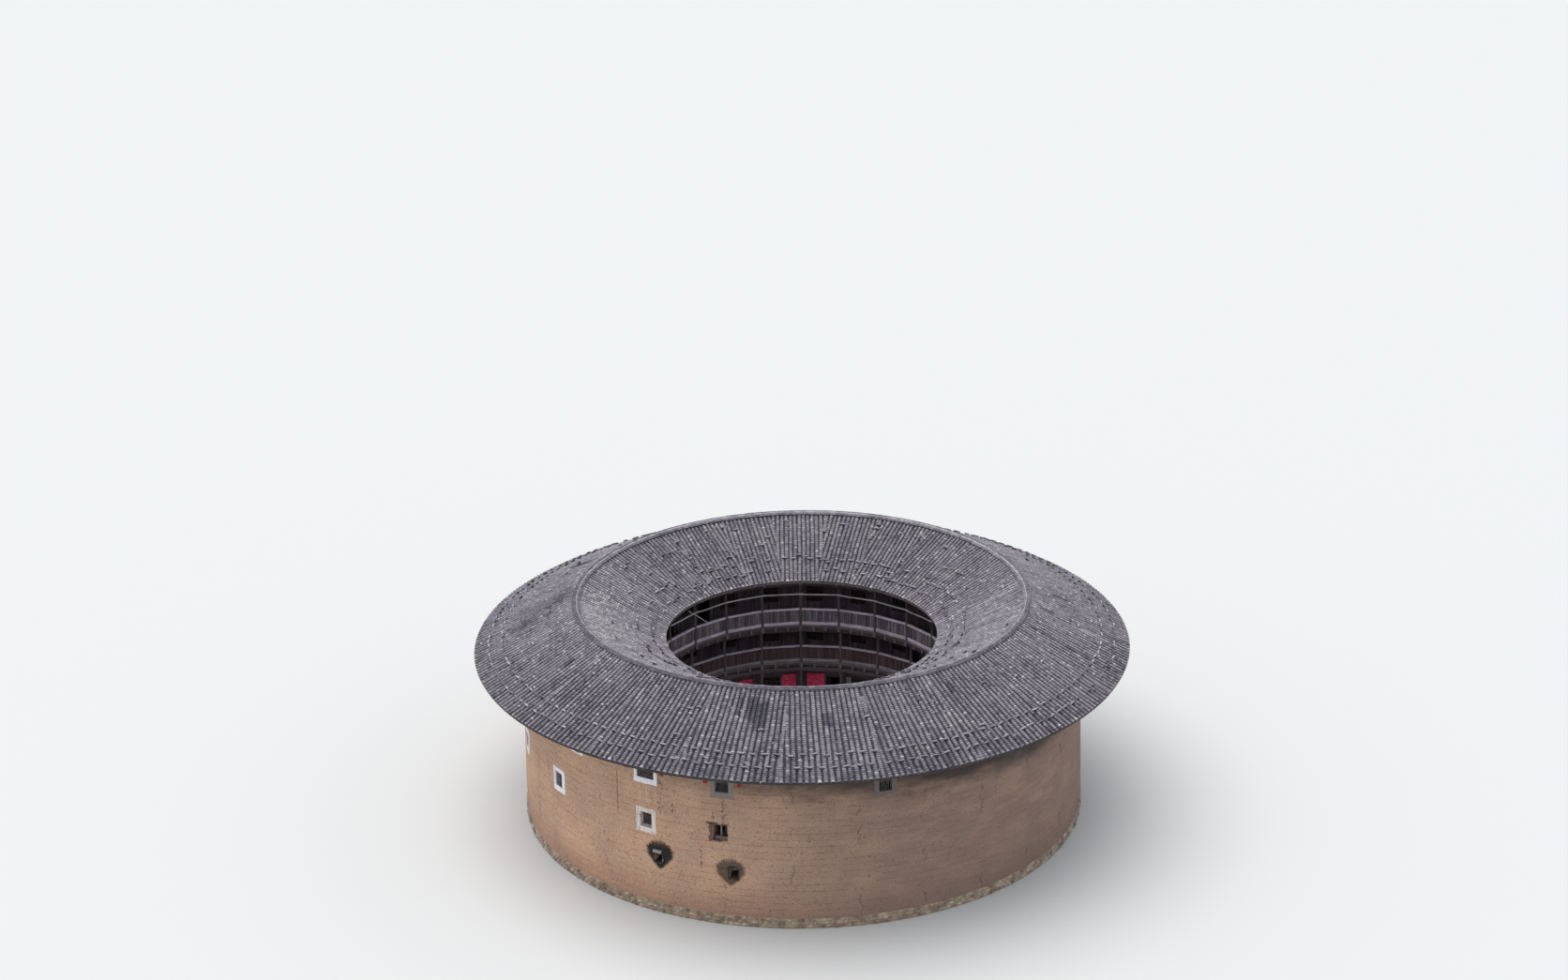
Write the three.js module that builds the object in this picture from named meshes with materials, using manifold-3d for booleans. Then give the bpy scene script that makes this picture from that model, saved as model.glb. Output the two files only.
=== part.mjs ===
// Tulou roundhouse: a ring of rammed-earth wall three storeys high, with timber rooms and galleries
// on its courtyard side and one ring-shaped ridge roof over the whole.
// Millimetres, +Z up. The origin is the centre of the ring at the foot of the stone plinth.
// Angles are in degrees, anticlockwise from +X. The side seen in the photograph faces -Y.

import * as THREE from 'three';
import { mergeVertices } from 'three/addons/utils/BufferGeometryUtils.js';
import Module from 'manifold-3d';

const wasm = await Module();
wasm.setup();

// Driving dimensions
const SEAM = 0.3;                    // clearance between pieces that touch
const LOOSE_FIT = 20;                // clearance of a floor's edge or a beam's end in the earth wall
const BAYS = 24;                     // bays of the timber frame round the courtyard
const ROUND_FACETS = 72;             // flats on a piece that is round in plan
const FLOOR_FACETS = 48;             // flats on the outer edge of a floor

const RIDGE_HEIGHT = 12900;          // top of the ridge capping
const RIDGE_RADIUS = 13000;
const OUTER_EAVE_RADIUS = 18800;
const OUTER_EAVE_HEIGHT = 10060;
const INNER_EAVE_RADIUS = 7880;
const INNER_EAVE_HEIGHT = 10360;
const CAPPING_HEIGHT = 130;
const CAPPING_WIDTH = 380;
const CAPPING_FLAT_WIDTH = 228;      // flat on top of the capping
const ROOF_DEPTH = 220;              // tiles, boards and rafters together, measured upright

const WALL_FOOT_RADIUS = 16200;      // outer face, which leans in a little towards the top
const WALL_HEAD_RADIUS = 16100;
const WALL_INNER_RADII = [14800, 14950, 15100];  // one for each storey, stepped in at the floors
const PLINTH_HEIGHT = 600;
const PLINTH_PROUD = 90;

const FLOOR_HEIGHTS = [900, 4400, 7000];         // top of each storey's floor
const DECK_THICKNESS = 50;
const JOIST_DEPTH = 300;
const JOIST_WIDTH = 180;
const KERB_RADIUS = 8450;
const GALLERY_RADII = [9350, 9350, 9000];        // post lines, the third storey jutting out
const DECK_OVERHANG = 130;
const RIM_WIDTH = 100;               // beam that joins the joists' ends along the gallery's edge
const RIM_DEPTH = 200;
const RIM_SETBACK = 30;              // from the edge of the deck to the rim beam
const POST_SIZE = 180;
const HEAD_BEAM_DEPTH = 240;
const HEAD_BEAM_WIDTH = 150;
const PARAPET_HEIGHT = 1000;
const PARAPET_THICKNESS = 60;
const FRONT_RADIUS = 10550;
const FRONT_THICKNESS = 100;

const DOOR_WIDTH = 850;
const DOOR_HEIGHT = 2000;
const SILL_HEIGHT = 950;
const WINDOW_WIDTH = 950;
const DOOR_ASIDE = -600;             // middle of the door, sideways from the middle of its bay
const WINDOW_ASIDE = 480;

const TIE_TOP = 10040;
const TIE_DEPTH = 220;
const TIE_WIDTH = 160;
const TIE_INNER_RADIUS = 8330;
const TIE_OUTER_RADIUS = 18160;
const PURLIN_WIDTH = 160;
const PURLIN_DEPTH = 180;
const OUTER_PURLIN_RADIUS = 18050;
const INNER_PURLIN_RADIUS = 8440;

const GATE_ANGLE = 172.5;            // middle of a bay on the left
const GATE_CLEAR_WIDTH = 1700;
const GATE_CLEAR_HEIGHT = 2600;
const GATE_STONE = 300;              // width of a jamb and height of the lintel
const GATE_SILL = 120;
const GATE_STONE_DEPTH = 500;
const GATE_FACE_RADIUS = 16250;
const LEAF_THICKNESS = 80;

// Openings in the earth wall: angle from -Y towards +X, sill height, width and height
const FRONT_DIRECTION = -90;
const UPPER_SILL = 7900;
const LOWER_SILL = 5000;
const UPPER_WINDOWS = [
  { at: -51, width: 730, height: 950 },
  { at: -32.3, width: 1100, height: 950 },
  { at: -16.1, width: 745, height: 950 },
  { at: 15.4, width: 700, height: 950 },
  { at: 75, width: 730, height: 950 },
  { at: 105, width: 730, height: 950 },
  { at: 135, width: 730, height: 950 },
  { at: 165, width: 730, height: 950 },
  { at: -165, width: 730, height: 950 },
  { at: -135, width: 730, height: 950 },
  { at: -105, width: 730, height: 950 },
];
const LOWER_WINDOWS = [
  { at: -78, width: 730, height: 870 },
  { at: -57.8, width: 730, height: 870 },
  { at: -32.3, width: 760, height: 870 },
  { at: -16.6, width: 860, height: 950 },
  { at: 105, width: 730, height: 870 },
  { at: 165, width: 730, height: 870 },
  { at: -165, width: 730, height: 870 },
  { at: -105, width: 730, height: 870 },
];
const SMOKE_VENTS = [
  { at: -29.7, sill: 3050, width: 520, height: 570 },
  { at: -14, sill: 2800, width: 500, height: 600 },
];

// Worked out from the dimensions above
const BAY_ANGLE = 360 / BAYS;
const ROOF_PEAK = RIDGE_HEIGHT - CAPPING_HEIGHT;
const OUTER_FALL = (ROOF_PEAK - OUTER_EAVE_HEIGHT) / (OUTER_EAVE_RADIUS - RIDGE_RADIUS);
const INNER_FALL = (ROOF_PEAK - INNER_EAVE_HEIGHT) / (RIDGE_RADIUS - INNER_EAVE_RADIUS);
const TIE_BOTTOM = TIE_TOP - TIE_DEPTH;
const WALL_HEAD_HEIGHT = roofTop(WALL_HEAD_RADIUS) - ROOF_DEPTH - SEAM;
const PASSAGE_WIDTH = GATE_CLEAR_WIDTH + 2 * GATE_STONE;
const PASSAGE_HEIGHT = GATE_CLEAR_HEIGHT + GATE_STONE;
const BAYS_IN_QUARTER = BAYS / 4;
const REACH = 30000;                 // further out than any piece
const CUT_PAST = 500;                // how far a cutter runs past the face it cuts
const SAME_POINT = 0.001;            // corners nearer together than this are one corner

const EARTH = new THREE.MeshStandardMaterial({ color: 0xb08060, roughness: 0.95, metalness: 0 });
const RUBBLE = new THREE.MeshStandardMaterial({ color: 0x8a7a6c, roughness: 0.9, metalness: 0 });
const PAVING = new THREE.MeshStandardMaterial({ color: 0x8c857b, roughness: 0.9, metalness: 0 });
const DRESSED_STONE = new THREE.MeshStandardMaterial({ color: 0x9a958c, roughness: 0.85, metalness: 0 });
const DOOR_TIMBER = new THREE.MeshStandardMaterial({ color: 0x4a382b, roughness: 0.8, metalness: 0 });
const FRAME_TIMBER = new THREE.MeshStandardMaterial({ color: 0x57483b, roughness: 0.85, metalness: 0 });
const FLOOR_TIMBER = new THREE.MeshStandardMaterial({ color: 0x75604b, roughness: 0.85, metalness: 0 });
const BOARD_TIMBER = new THREE.MeshStandardMaterial({ color: 0x5d4534, roughness: 0.85, metalness: 0 });
const ROOF_TILE = new THREE.MeshStandardMaterial({ color: 0x4b4549, roughness: 0.9, metalness: 0 });
const RIDGE_TILE = new THREE.MeshStandardMaterial({ color: 0x6b6568, roughness: 0.9, metalness: 0 });

const radians = (degrees) => degrees * Math.PI / 180;

function pointAt(radius, angle) {
  return new THREE.Vector2(radius * Math.cos(radians(angle)), radius * Math.sin(radians(angle)));
}

// Height of the roof's upper face at a radius
function roofTop(radius) {
  if (radius > RIDGE_RADIUS) {
    return ROOF_PEAK - OUTER_FALL * (radius - RIDGE_RADIUS);
  }
  return ROOF_PEAK - INNER_FALL * (RIDGE_RADIUS - radius);
}

// Height at which a purlin of this radius and width meets the underside of the roof. A purlin is straight
// from bent to bent, so the middle of each length lies nearer the courtyard than its ends do.
function roofSeat(radius, width) {
  const nearest = (radius - width / 2) * Math.cos(radians(BAY_ANGLE / 2));
  const furthest = radius + width / 2;
  return Math.min(roofTop(nearest), roofTop(furthest)) - ROOF_DEPTH - SEAM;
}

function solid(geometry) {
  geometry.deleteAttribute('normal');
  geometry.deleteAttribute('uv');
  const merged = mergeVertices(geometry, SAME_POINT);
  return new wasm.Manifold(new wasm.Mesh({
    numProp: 3,
    vertProperties: merged.attributes.position.array,
    triVerts: new Uint32Array(merged.index.array),
  }));
}

function joined(solids) {
  return solids.reduce((whole, next) => whole.add(next));
}

// A ring turned round the axis from a section of [radius, height] corners
function ring(section, facets) {
  const corners = [...section, section[0]].map(([radius, height]) => new THREE.Vector2(radius, height));
  const geometry = new THREE.LatheGeometry(corners, facets);
  geometry.rotateX(Math.PI / 2);
  return solid(geometry);
}

function squareRing(radius, width, bottom, top, facets) {
  const inner = radius - width / 2;
  const outer = radius + width / 2;
  return ring([[inner, bottom], [outer, bottom], [outer, top], [inner, top]], facets);
}

// A block from one radius to another, centred on the line at this angle
function radialBlock({ angle, inner, outer, width, bottom, top, aside = 0 }) {
  const geometry = new THREE.BoxGeometry(outer - inner, width, top - bottom);
  geometry.translate((inner + outer) / 2, aside, (bottom + top) / 2);
  geometry.rotateZ(radians(angle));
  return solid(geometry);
}

// The space between two angles, less half a seam at each side
function wedge(from, to) {
  const middle = (from + to) / 2;
  const inset = SEAM / 2 / Math.sin(radians((to - from) / 2));
  const tip = pointAt(inset, middle);
  const shape = new THREE.Shape([
    tip,
    pointAt(REACH, from).add(tip),
    pointAt(2 * REACH, middle).add(tip),
    pointAt(REACH, to).add(tip),
  ]);
  return solid(new THREE.ExtrudeGeometry(shape, { depth: RIDGE_HEIGHT, bevelEnabled: false }));
}

function outline(radius, facets) {
  return Array.from({ length: facets }, (_, i) => pointAt(radius, i * 360 / facets));
}

const house = new THREE.Group();

function addPiece(name, shape, material) {
  const { vertProperties, triVerts } = shape.getMesh();
  const geometry = new THREE.BufferGeometry();
  geometry.setAttribute('position', new THREE.BufferAttribute(vertProperties, 3));
  geometry.setIndex(new THREE.BufferAttribute(triVerts, 1));
  const mesh = new THREE.Mesh(geometry, material);
  mesh.name = name;
  house.add(mesh);
}

// The eight lengths of earth wall and the four quarters of each timber ring, with the angles of
// their middles
const WALL_LENGTHS = {
  right: 0,
  back_right: 45,
  back: 90,
  back_left: 135,
  left: 180,
  front_left: 225,
  front: 270,
  front_right: 315,
};
const QUARTERS = { back: 82.5, left: 172.5, front: 262.5, right: 352.5 };
const WALL_LENGTH_ANGLE = 45;
const QUARTER_ANGLE = 90;

function bentAngles(middle) {
  const first = middle - QUARTER_ANGLE / 2 + BAY_ANGLE / 2;
  return Array.from({ length: BAYS_IN_QUARTER }, (_, i) => first + i * BAY_ANGLE);
}

function allBentAngles() {
  return Array.from({ length: BAYS }, (_, i) => i * BAY_ANGLE);
}

function quarterOf(whole, middle) {
  return whole.intersect(wedge(middle - QUARTER_ANGLE / 2, middle + QUARTER_ANGLE / 2));
}

// Level of the ledge in the earth wall that carries a floor's joists
function joistBottom(storey) {
  return FLOOR_HEIGHTS[storey] - DECK_THICKNESS - JOIST_DEPTH;
}

// Everything cut through the earth wall: windows, smoke vents, tie pockets and the gateway
function wallCutters() {
  const through = { inner: WALL_INNER_RADII[0] - CUT_PAST, outer: WALL_FOOT_RADIUS + CUT_PAST };
  const holes = [
    ...UPPER_WINDOWS.map((hole) => ({ ...hole, sill: UPPER_SILL })),
    ...LOWER_WINDOWS.map((hole) => ({ ...hole, sill: LOWER_SILL })),
    ...SMOKE_VENTS,
  ];
  const cutters = holes.map(({ at, sill, width, height }) => radialBlock({
    ...through, angle: FRONT_DIRECTION + at, width, bottom: sill, top: sill + height,
  }));
  for (const angle of allBentAngles()) {
    cutters.push(radialBlock({
      ...through,
      angle,
      width: TIE_WIDTH + LOOSE_FIT,
      bottom: TIE_BOTTOM - SEAM,
      top: TIE_TOP + LOOSE_FIT,
    }));
  }
  cutters.push(radialBlock({
    ...through,
    angle: GATE_ANGLE,
    width: PASSAGE_WIDTH,
    bottom: FLOOR_HEIGHTS[0],
    top: FLOOR_HEIGHTS[0] + PASSAGE_HEIGHT,
  }));
  return joined(cutters);
}

// Rammed-earth wall, standing on the plinth, in eight lengths
function addEarthWall() {
  const [ground, second, third] = WALL_INNER_RADII;
  const secondLedge = joistBottom(1) - SEAM;
  const thirdLedge = joistBottom(2) - SEAM;
  const whole = ring([
    [ground, PLINTH_HEIGHT + SEAM],
    [WALL_FOOT_RADIUS, PLINTH_HEIGHT + SEAM],
    [WALL_HEAD_RADIUS, WALL_HEAD_HEIGHT],
    [third, WALL_HEAD_HEIGHT],
    [third, thirdLedge],
    [second, thirdLedge],
    [second, secondLedge],
    [ground, secondLedge],
  ], ROUND_FACETS).subtract(wallCutters());
  for (const [side, middle] of Object.entries(WALL_LENGTHS)) {
    const half = WALL_LENGTH_ANGLE / 2;
    addPiece(`outer_wall_${side}`, whole.intersect(wedge(middle - half, middle + half)), EARTH);
  }
}

function addPlinth() {
  const width = WALL_FOOT_RADIUS + PLINTH_PROUD - WALL_INNER_RADII[0];
  const middle = WALL_INNER_RADII[0] + width / 2;
  addPiece('stone_plinth', squareRing(middle, width, 0, PLINTH_HEIGHT, ROUND_FACETS), RUBBLE);
}

// Raised floor of the ground storey, from the courtyard kerb to the wall
function addGroundFloor() {
  const shape = new THREE.Shape(outline(WALL_INNER_RADII[0] - LOOSE_FIT, FLOOR_FACETS));
  shape.holes.push(new THREE.Path(outline(KERB_RADIUS, BAYS)));
  const platform = new THREE.ExtrudeGeometry(shape, { depth: FLOOR_HEIGHTS[0] - SEAM, bevelEnabled: false });
  addPiece('ground_floor', solid(platform), PAVING);
}

// Gateway: a dressed-stone frame at the outer face, and two plank leaves folded back inside the passage
function addGateway() {
  const bottom = FLOOR_HEIGHTS[0] + SEAM;
  const top = FLOOR_HEIGHTS[0] + PASSAGE_HEIGHT - SEAM;
  const inner = GATE_FACE_RADIUS - GATE_STONE_DEPTH;
  const block = radialBlock({
    angle: GATE_ANGLE, inner, outer: GATE_FACE_RADIUS, width: PASSAGE_WIDTH - 2 * SEAM, bottom, top,
  });
  const clear = radialBlock({
    angle: GATE_ANGLE,
    inner: inner - CUT_PAST,
    outer: GATE_FACE_RADIUS + CUT_PAST,
    width: GATE_CLEAR_WIDTH,
    bottom: bottom + GATE_SILL,
    top: bottom + GATE_CLEAR_HEIGHT,
  });
  addPiece('gate_frame', block.subtract(clear), DRESSED_STONE);
  const leafOuter = inner - SEAM;
  const aside = PASSAGE_WIDTH / 2 - SEAM - LEAF_THICKNESS / 2;
  for (const [side, sign] of [['right', -1], ['left', 1]]) {
    addPiece(`gate_leaf_${side}`, radialBlock({
      angle: GATE_ANGLE,
      inner: leafOuter - GATE_CLEAR_WIDTH / 2,
      outer: leafOuter,
      width: LEAF_THICKNESS,
      bottom,
      top: bottom + GATE_CLEAR_HEIGHT,
      aside: sign * aside,
    }), DOOR_TIMBER);
  }
}

// Deck, and under it the radial joists that run from the wall's ledge to a rim beam along the gallery's edge
function addUpperFloor(name, storey) {
  const edge = GALLERY_RADII[storey] - DECK_OVERHANG;
  const wallSide = WALL_INNER_RADII[storey] - LOOSE_FIT;
  const underside = FLOOR_HEIGHTS[storey] - DECK_THICKNESS;
  const shape = new THREE.Shape(outline(wallSide, FLOOR_FACETS));
  shape.holes.push(new THREE.Path(outline(edge, BAYS)));
  const deck = new THREE.ExtrudeGeometry(shape, { depth: DECK_THICKNESS, bevelEnabled: false });
  deck.translate(0, 0, underside);
  addPiece(name, solid(deck), FLOOR_TIMBER);
  const rimRadius = edge + RIM_SETBACK + RIM_WIDTH / 2;
  const top = underside - SEAM;
  const joists = allBentAngles().map((angle) => radialBlock({
    angle, inner: rimRadius, outer: wallSide, width: JOIST_WIDTH, bottom: joistBottom(storey), top,
  }));
  const rim = squareRing(rimRadius, RIM_WIDTH, top - RIM_DEPTH, top, BAYS);
  addPiece(`${name}_joists`, joined([rim, ...joists]), FRAME_TIMBER);
}

// Posts with the beam on their heads, and on the upper storeys the parapet between them
function addGallery(name, storey) {
  const radius = GALLERY_RADII[storey];
  const bottom = FLOOR_HEIGHTS[storey] + SEAM;
  const top = (storey < 2 ? joistBottom(storey + 1) : TIE_BOTTOM) - SEAM;
  const rings = [squareRing(radius, HEAD_BEAM_WIDTH, top - HEAD_BEAM_DEPTH, top, BAYS)];
  if (storey > 0) {
    rings.push(squareRing(radius, PARAPET_THICKNESS, bottom, bottom + PARAPET_HEIGHT, BAYS));
  }
  const band = joined(rings);
  for (const [side, middle] of Object.entries(QUARTERS)) {
    const posts = bentAngles(middle).map((angle) => radialBlock({
      angle,
      inner: radius - POST_SIZE / 2,
      outer: radius + POST_SIZE / 2,
      width: POST_SIZE,
      bottom,
      top,
    }));
    addPiece(`${name}_${side}`, joined([quarterOf(band, middle), ...posts]), FRAME_TIMBER);
  }
}

// Cutters for one bay of a room front: a doorway, and a window beside it
function doorAndWindow(angle, floor) {
  const through = { angle, inner: FRONT_RADIUS - CUT_PAST, outer: FRONT_RADIUS + CUT_PAST };
  const top = floor + DOOR_HEIGHT;
  return [
    radialBlock({ ...through, width: DOOR_WIDTH, bottom: floor - CUT_PAST, top, aside: DOOR_ASIDE }),
    radialBlock({ ...through, width: WINDOW_WIDTH, bottom: floor + SILL_HEIGHT, top, aside: WINDOW_ASIDE }),
  ];
}

// Timber front of the rooms, straight from bay to bay
function addRoomFront(name, storey) {
  const bottom = FLOOR_HEIGHTS[storey] + SEAM;
  const top = (storey < 2 ? joistBottom(storey + 1) : TIE_BOTTOM) - SEAM;
  const front = squareRing(FRONT_RADIUS, FRONT_THICKNESS, bottom, top, BAYS);
  const cutters = allBentAngles().flatMap((angle) => {
    const middle = angle + BAY_ANGLE / 2;
    if (storey === 0 && middle === GATE_ANGLE) {
      return [radialBlock({
        angle: middle,
        inner: FRONT_RADIUS - CUT_PAST,
        outer: FRONT_RADIUS + CUT_PAST,
        width: PASSAGE_WIDTH,
        bottom: bottom - CUT_PAST,
        top: bottom + PASSAGE_HEIGHT,
      })];
    }
    return doorAndWindow(middle, bottom);
  });
  addPiece(name, front.subtract(joined(cutters)), BOARD_TIMBER);
}

// Tie beams through the wall's pockets, with the purlins at both eaves on their ends
function addTieBeams() {
  const eaves = joined([
    squareRing(OUTER_PURLIN_RADIUS, PURLIN_WIDTH, TIE_TOP - TIE_DEPTH / 2,
      roofSeat(OUTER_PURLIN_RADIUS, PURLIN_WIDTH), BAYS),
    squareRing(INNER_PURLIN_RADIUS, PURLIN_WIDTH, TIE_TOP - TIE_DEPTH / 2,
      roofSeat(INNER_PURLIN_RADIUS, PURLIN_WIDTH), BAYS),
  ]);
  for (const [side, middle] of Object.entries(QUARTERS)) {
    const ties = bentAngles(middle).map((angle) => radialBlock({
      angle,
      inner: TIE_INNER_RADIUS,
      outer: TIE_OUTER_RADIUS,
      width: TIE_WIDTH,
      bottom: TIE_BOTTOM,
      top: TIE_TOP,
    }));
    addPiece(`tie_beams_${side}`, joined([quarterOf(eaves, middle), ...ties]), FRAME_TIMBER);
  }
}

// King posts on the tie beams, with the ridge purlin on their heads
function addRidgePurlin() {
  const seat = roofSeat(RIDGE_RADIUS, PURLIN_WIDTH);
  const purlin = squareRing(RIDGE_RADIUS, PURLIN_WIDTH, seat - PURLIN_DEPTH, seat, BAYS);
  for (const [side, middle] of Object.entries(QUARTERS)) {
    const kings = bentAngles(middle).map((angle) => radialBlock({
      angle,
      inner: RIDGE_RADIUS - TIE_WIDTH / 2,
      outer: RIDGE_RADIUS + TIE_WIDTH / 2,
      width: TIE_WIDTH,
      bottom: TIE_TOP + SEAM,
      top: seat - PURLIN_DEPTH / 2,
    }));
    addPiece(`ridge_purlin_${side}`, joined([quarterOf(purlin, middle), ...kings]), FRAME_TIMBER);
  }
}

// One slope of the roof: tiles on boards and rafters, taken together as one slab
function addSlope(name, ridgeSide, eaveRadius, eaveHeight) {
  const upper = roofTop(ridgeSide);
  const section = [
    [ridgeSide, upper],
    [ridgeSide, upper - ROOF_DEPTH],
    [eaveRadius, eaveHeight - ROOF_DEPTH],
    [eaveRadius, eaveHeight],
  ];
  const turned = eaveRadius > ridgeSide ? section : section.reverse();
  addPiece(name, ring(turned, ROUND_FACETS), ROOF_TILE);
}

function addRoof() {
  addSlope('outer_roof', RIDGE_RADIUS + SEAM / 2, OUTER_EAVE_RADIUS, OUTER_EAVE_HEIGHT);
  addSlope('inner_roof', RIDGE_RADIUS - SEAM / 2, INNER_EAVE_RADIUS, INNER_EAVE_HEIGHT);
  const half = CAPPING_WIDTH / 2;
  const capping = ring([
    [RIDGE_RADIUS - half, roofTop(RIDGE_RADIUS - half) + SEAM],
    [RIDGE_RADIUS, ROOF_PEAK + SEAM],
    [RIDGE_RADIUS + half, roofTop(RIDGE_RADIUS + half) + SEAM],
    [RIDGE_RADIUS + CAPPING_FLAT_WIDTH / 2, RIDGE_HEIGHT],
    [RIDGE_RADIUS - CAPPING_FLAT_WIDTH / 2, RIDGE_HEIGHT],
  ], ROUND_FACETS);
  addPiece('ridge_capping', capping, RIDGE_TILE);
}

addPlinth();
addEarthWall();
addGroundFloor();
addGateway();
addUpperFloor('second_floor', 1);
addUpperFloor('third_floor', 2);
addGallery('ground_gallery', 0);
addGallery('second_gallery', 1);
addGallery('third_gallery', 2);
addRoomFront('ground_room_front', 0);
addRoomFront('second_room_front', 1);
addRoomFront('third_room_front', 2);
addTieBeams();
addRidgePurlin();
addRoof();

export default house;
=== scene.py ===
import bpy
import math
import numpy as np
from mathutils import Matrix, Vector


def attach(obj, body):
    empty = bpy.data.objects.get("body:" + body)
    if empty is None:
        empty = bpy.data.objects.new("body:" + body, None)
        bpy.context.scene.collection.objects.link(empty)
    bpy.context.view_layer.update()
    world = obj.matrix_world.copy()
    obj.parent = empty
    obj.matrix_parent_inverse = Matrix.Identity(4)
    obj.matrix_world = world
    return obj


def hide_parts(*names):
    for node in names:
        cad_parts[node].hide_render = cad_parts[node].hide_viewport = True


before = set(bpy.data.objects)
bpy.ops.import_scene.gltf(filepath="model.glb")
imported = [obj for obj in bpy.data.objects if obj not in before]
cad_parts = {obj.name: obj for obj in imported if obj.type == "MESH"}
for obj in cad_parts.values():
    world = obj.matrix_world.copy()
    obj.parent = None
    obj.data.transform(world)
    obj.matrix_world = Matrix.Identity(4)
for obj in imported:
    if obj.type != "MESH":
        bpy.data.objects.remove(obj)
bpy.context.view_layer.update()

# The view is the photograph's: from well above the roof, in front of the house, with a long lens.
# Angles round the house are in degrees from the front (-Y) towards the right (+X).
PICTURE_WIDTH = 1672
FOCAL_PIXELS = 3300
SENSOR = 36.0
EYE = Vector((-0.893, -164.077, 81.823))
VIEW_DOWN = math.radians(20.888)
VIEW_ROLL = math.radians(-0.866)


def look_through_lens():
    lens = bpy.data.cameras.new("view")
    lens.sensor_width = SENSOR
    lens.lens = FOCAL_PIXELS / PICTURE_WIDTH * SENSOR
    lens.clip_start = 1.0
    lens.clip_end = 4000.0
    camera = bpy.data.objects.new("view", lens)
    bpy.context.scene.collection.objects.link(camera)
    ahead = Vector((0, math.cos(VIEW_DOWN), -math.sin(VIEW_DOWN)))
    upward = Vector((0, math.sin(VIEW_DOWN), math.cos(VIEW_DOWN)))
    across = Vector((1, 0, 0))
    right = math.cos(VIEW_ROLL) * across + math.sin(VIEW_ROLL) * upward
    up = -math.sin(VIEW_ROLL) * across + math.cos(VIEW_ROLL) * upward
    camera.matrix_world = Matrix.Translation(EYE) @ Matrix((right, up, -ahead)).transposed().to_4x4()
    bpy.context.scene.camera = camera


look_through_lens()

# Light as on a bright overcast day: a broad high lamp and an even pale sky, over a plain pale floor.
# The lamp stands a little to the left, so that the right of the wall lies in a soft shade.
SKY_STRENGTH = 0.85
SKY_COLOUR = (0.86, 0.92, 1.0, 1)
LAMP_STRENGTH = 2.2
LAMP_SPREAD = math.radians(60)
LAMP_COLOUR = (1.0, 0.965, 0.93)
LAMP_TURN = (math.radians(-4), math.radians(-14), 0)
FLOOR_COLOUR = (0.62, 0.62, 0.61, 1)
FLOOR_HALF = 1500
FLOOR_LEVEL = -0.01


def light_and_floor():
    scene = bpy.context.scene
    scene.view_settings.view_transform = "Standard"
    sky = bpy.data.worlds.new("sky")
    sky.use_nodes = True
    sky.node_tree.nodes["Background"].inputs["Color"].default_value = SKY_COLOUR
    sky.node_tree.nodes["Background"].inputs["Strength"].default_value = SKY_STRENGTH
    scene.world = sky
    sun = bpy.data.lights.new("lamp", "SUN")
    sun.energy = LAMP_STRENGTH
    sun.angle = LAMP_SPREAD
    sun.color = LAMP_COLOUR
    lamp = bpy.data.objects.new("lamp", sun)
    lamp.rotation_euler = LAMP_TURN
    scene.collection.objects.link(lamp)
    mesh = bpy.data.meshes.new("floor")
    h = FLOOR_HALF
    mesh.from_pydata([(-h, -h, 0), (h, -h, 0), (h, h, 0), (-h, h, 0)], [], [(0, 1, 2, 3)])
    floor = bpy.data.objects.new("floor", mesh)
    floor.location.z = FLOOR_LEVEL
    scene.collection.objects.link(floor)
    paint = bpy.data.materials.new("plain_floor")
    paint.use_nodes = True
    paint.node_tree.nodes["Principled BSDF"].inputs["Base Color"].default_value = FLOOR_COLOUR
    paint.node_tree.nodes["Principled BSDF"].inputs["Roughness"].default_value = 0.9
    mesh.materials.append(paint)


light_and_floor()

# Stone plinth: river boulders and broken stone in three courses, bedded in earth mortar.
# The wall stands on it, and it keeps the earth clear of splashing rain.
PLINTH_TOP = 0.6
PLINTH_FACE = 16.2
WALL_INSIDE = 14.8
COURSE = 0.2
STONE_WIDTH = 0.36
RUBBLE = ((118, 106, 94), (176, 164, 148))
MORTAR = ((150, 122, 98), (176, 148, 120))
chance = np.random.default_rng(7)


def linear(colour):
    """Screen colour, 0 to 255, as the light values that a material takes."""
    share = [c / 255 for c in colour]
    return tuple(c / 12.92 if c <= 0.04045 else ((c + 0.055) / 1.055) ** 2.4 for c in share) + (1,)


def darker(colour, share):
    return tuple(int(c * share) for c in colour)


def turned(angle):
    """Outward and sideways unit vectors at angles from the front, in degrees."""
    turn = np.radians(np.asarray(angle, float))
    flat = np.zeros_like(turn)
    return np.stack([np.sin(turn), -np.cos(turn), flat], -1), np.stack([np.cos(turn), np.sin(turn), flat], -1)


def place(radius, angle, height):
    """Points at these radii, angles from the front and heights."""
    turn = np.radians(angle)
    return np.stack(np.broadcast_arrays(radius * np.sin(turn), -radius * np.cos(turn), height), -1)


def grid_faces(across, along):
    start = (np.arange(across - 1)[:, None] * along + np.arange(along - 1)).ravel()
    return np.stack([start, start + along, start + along + 1, start + 1], -1)


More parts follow.
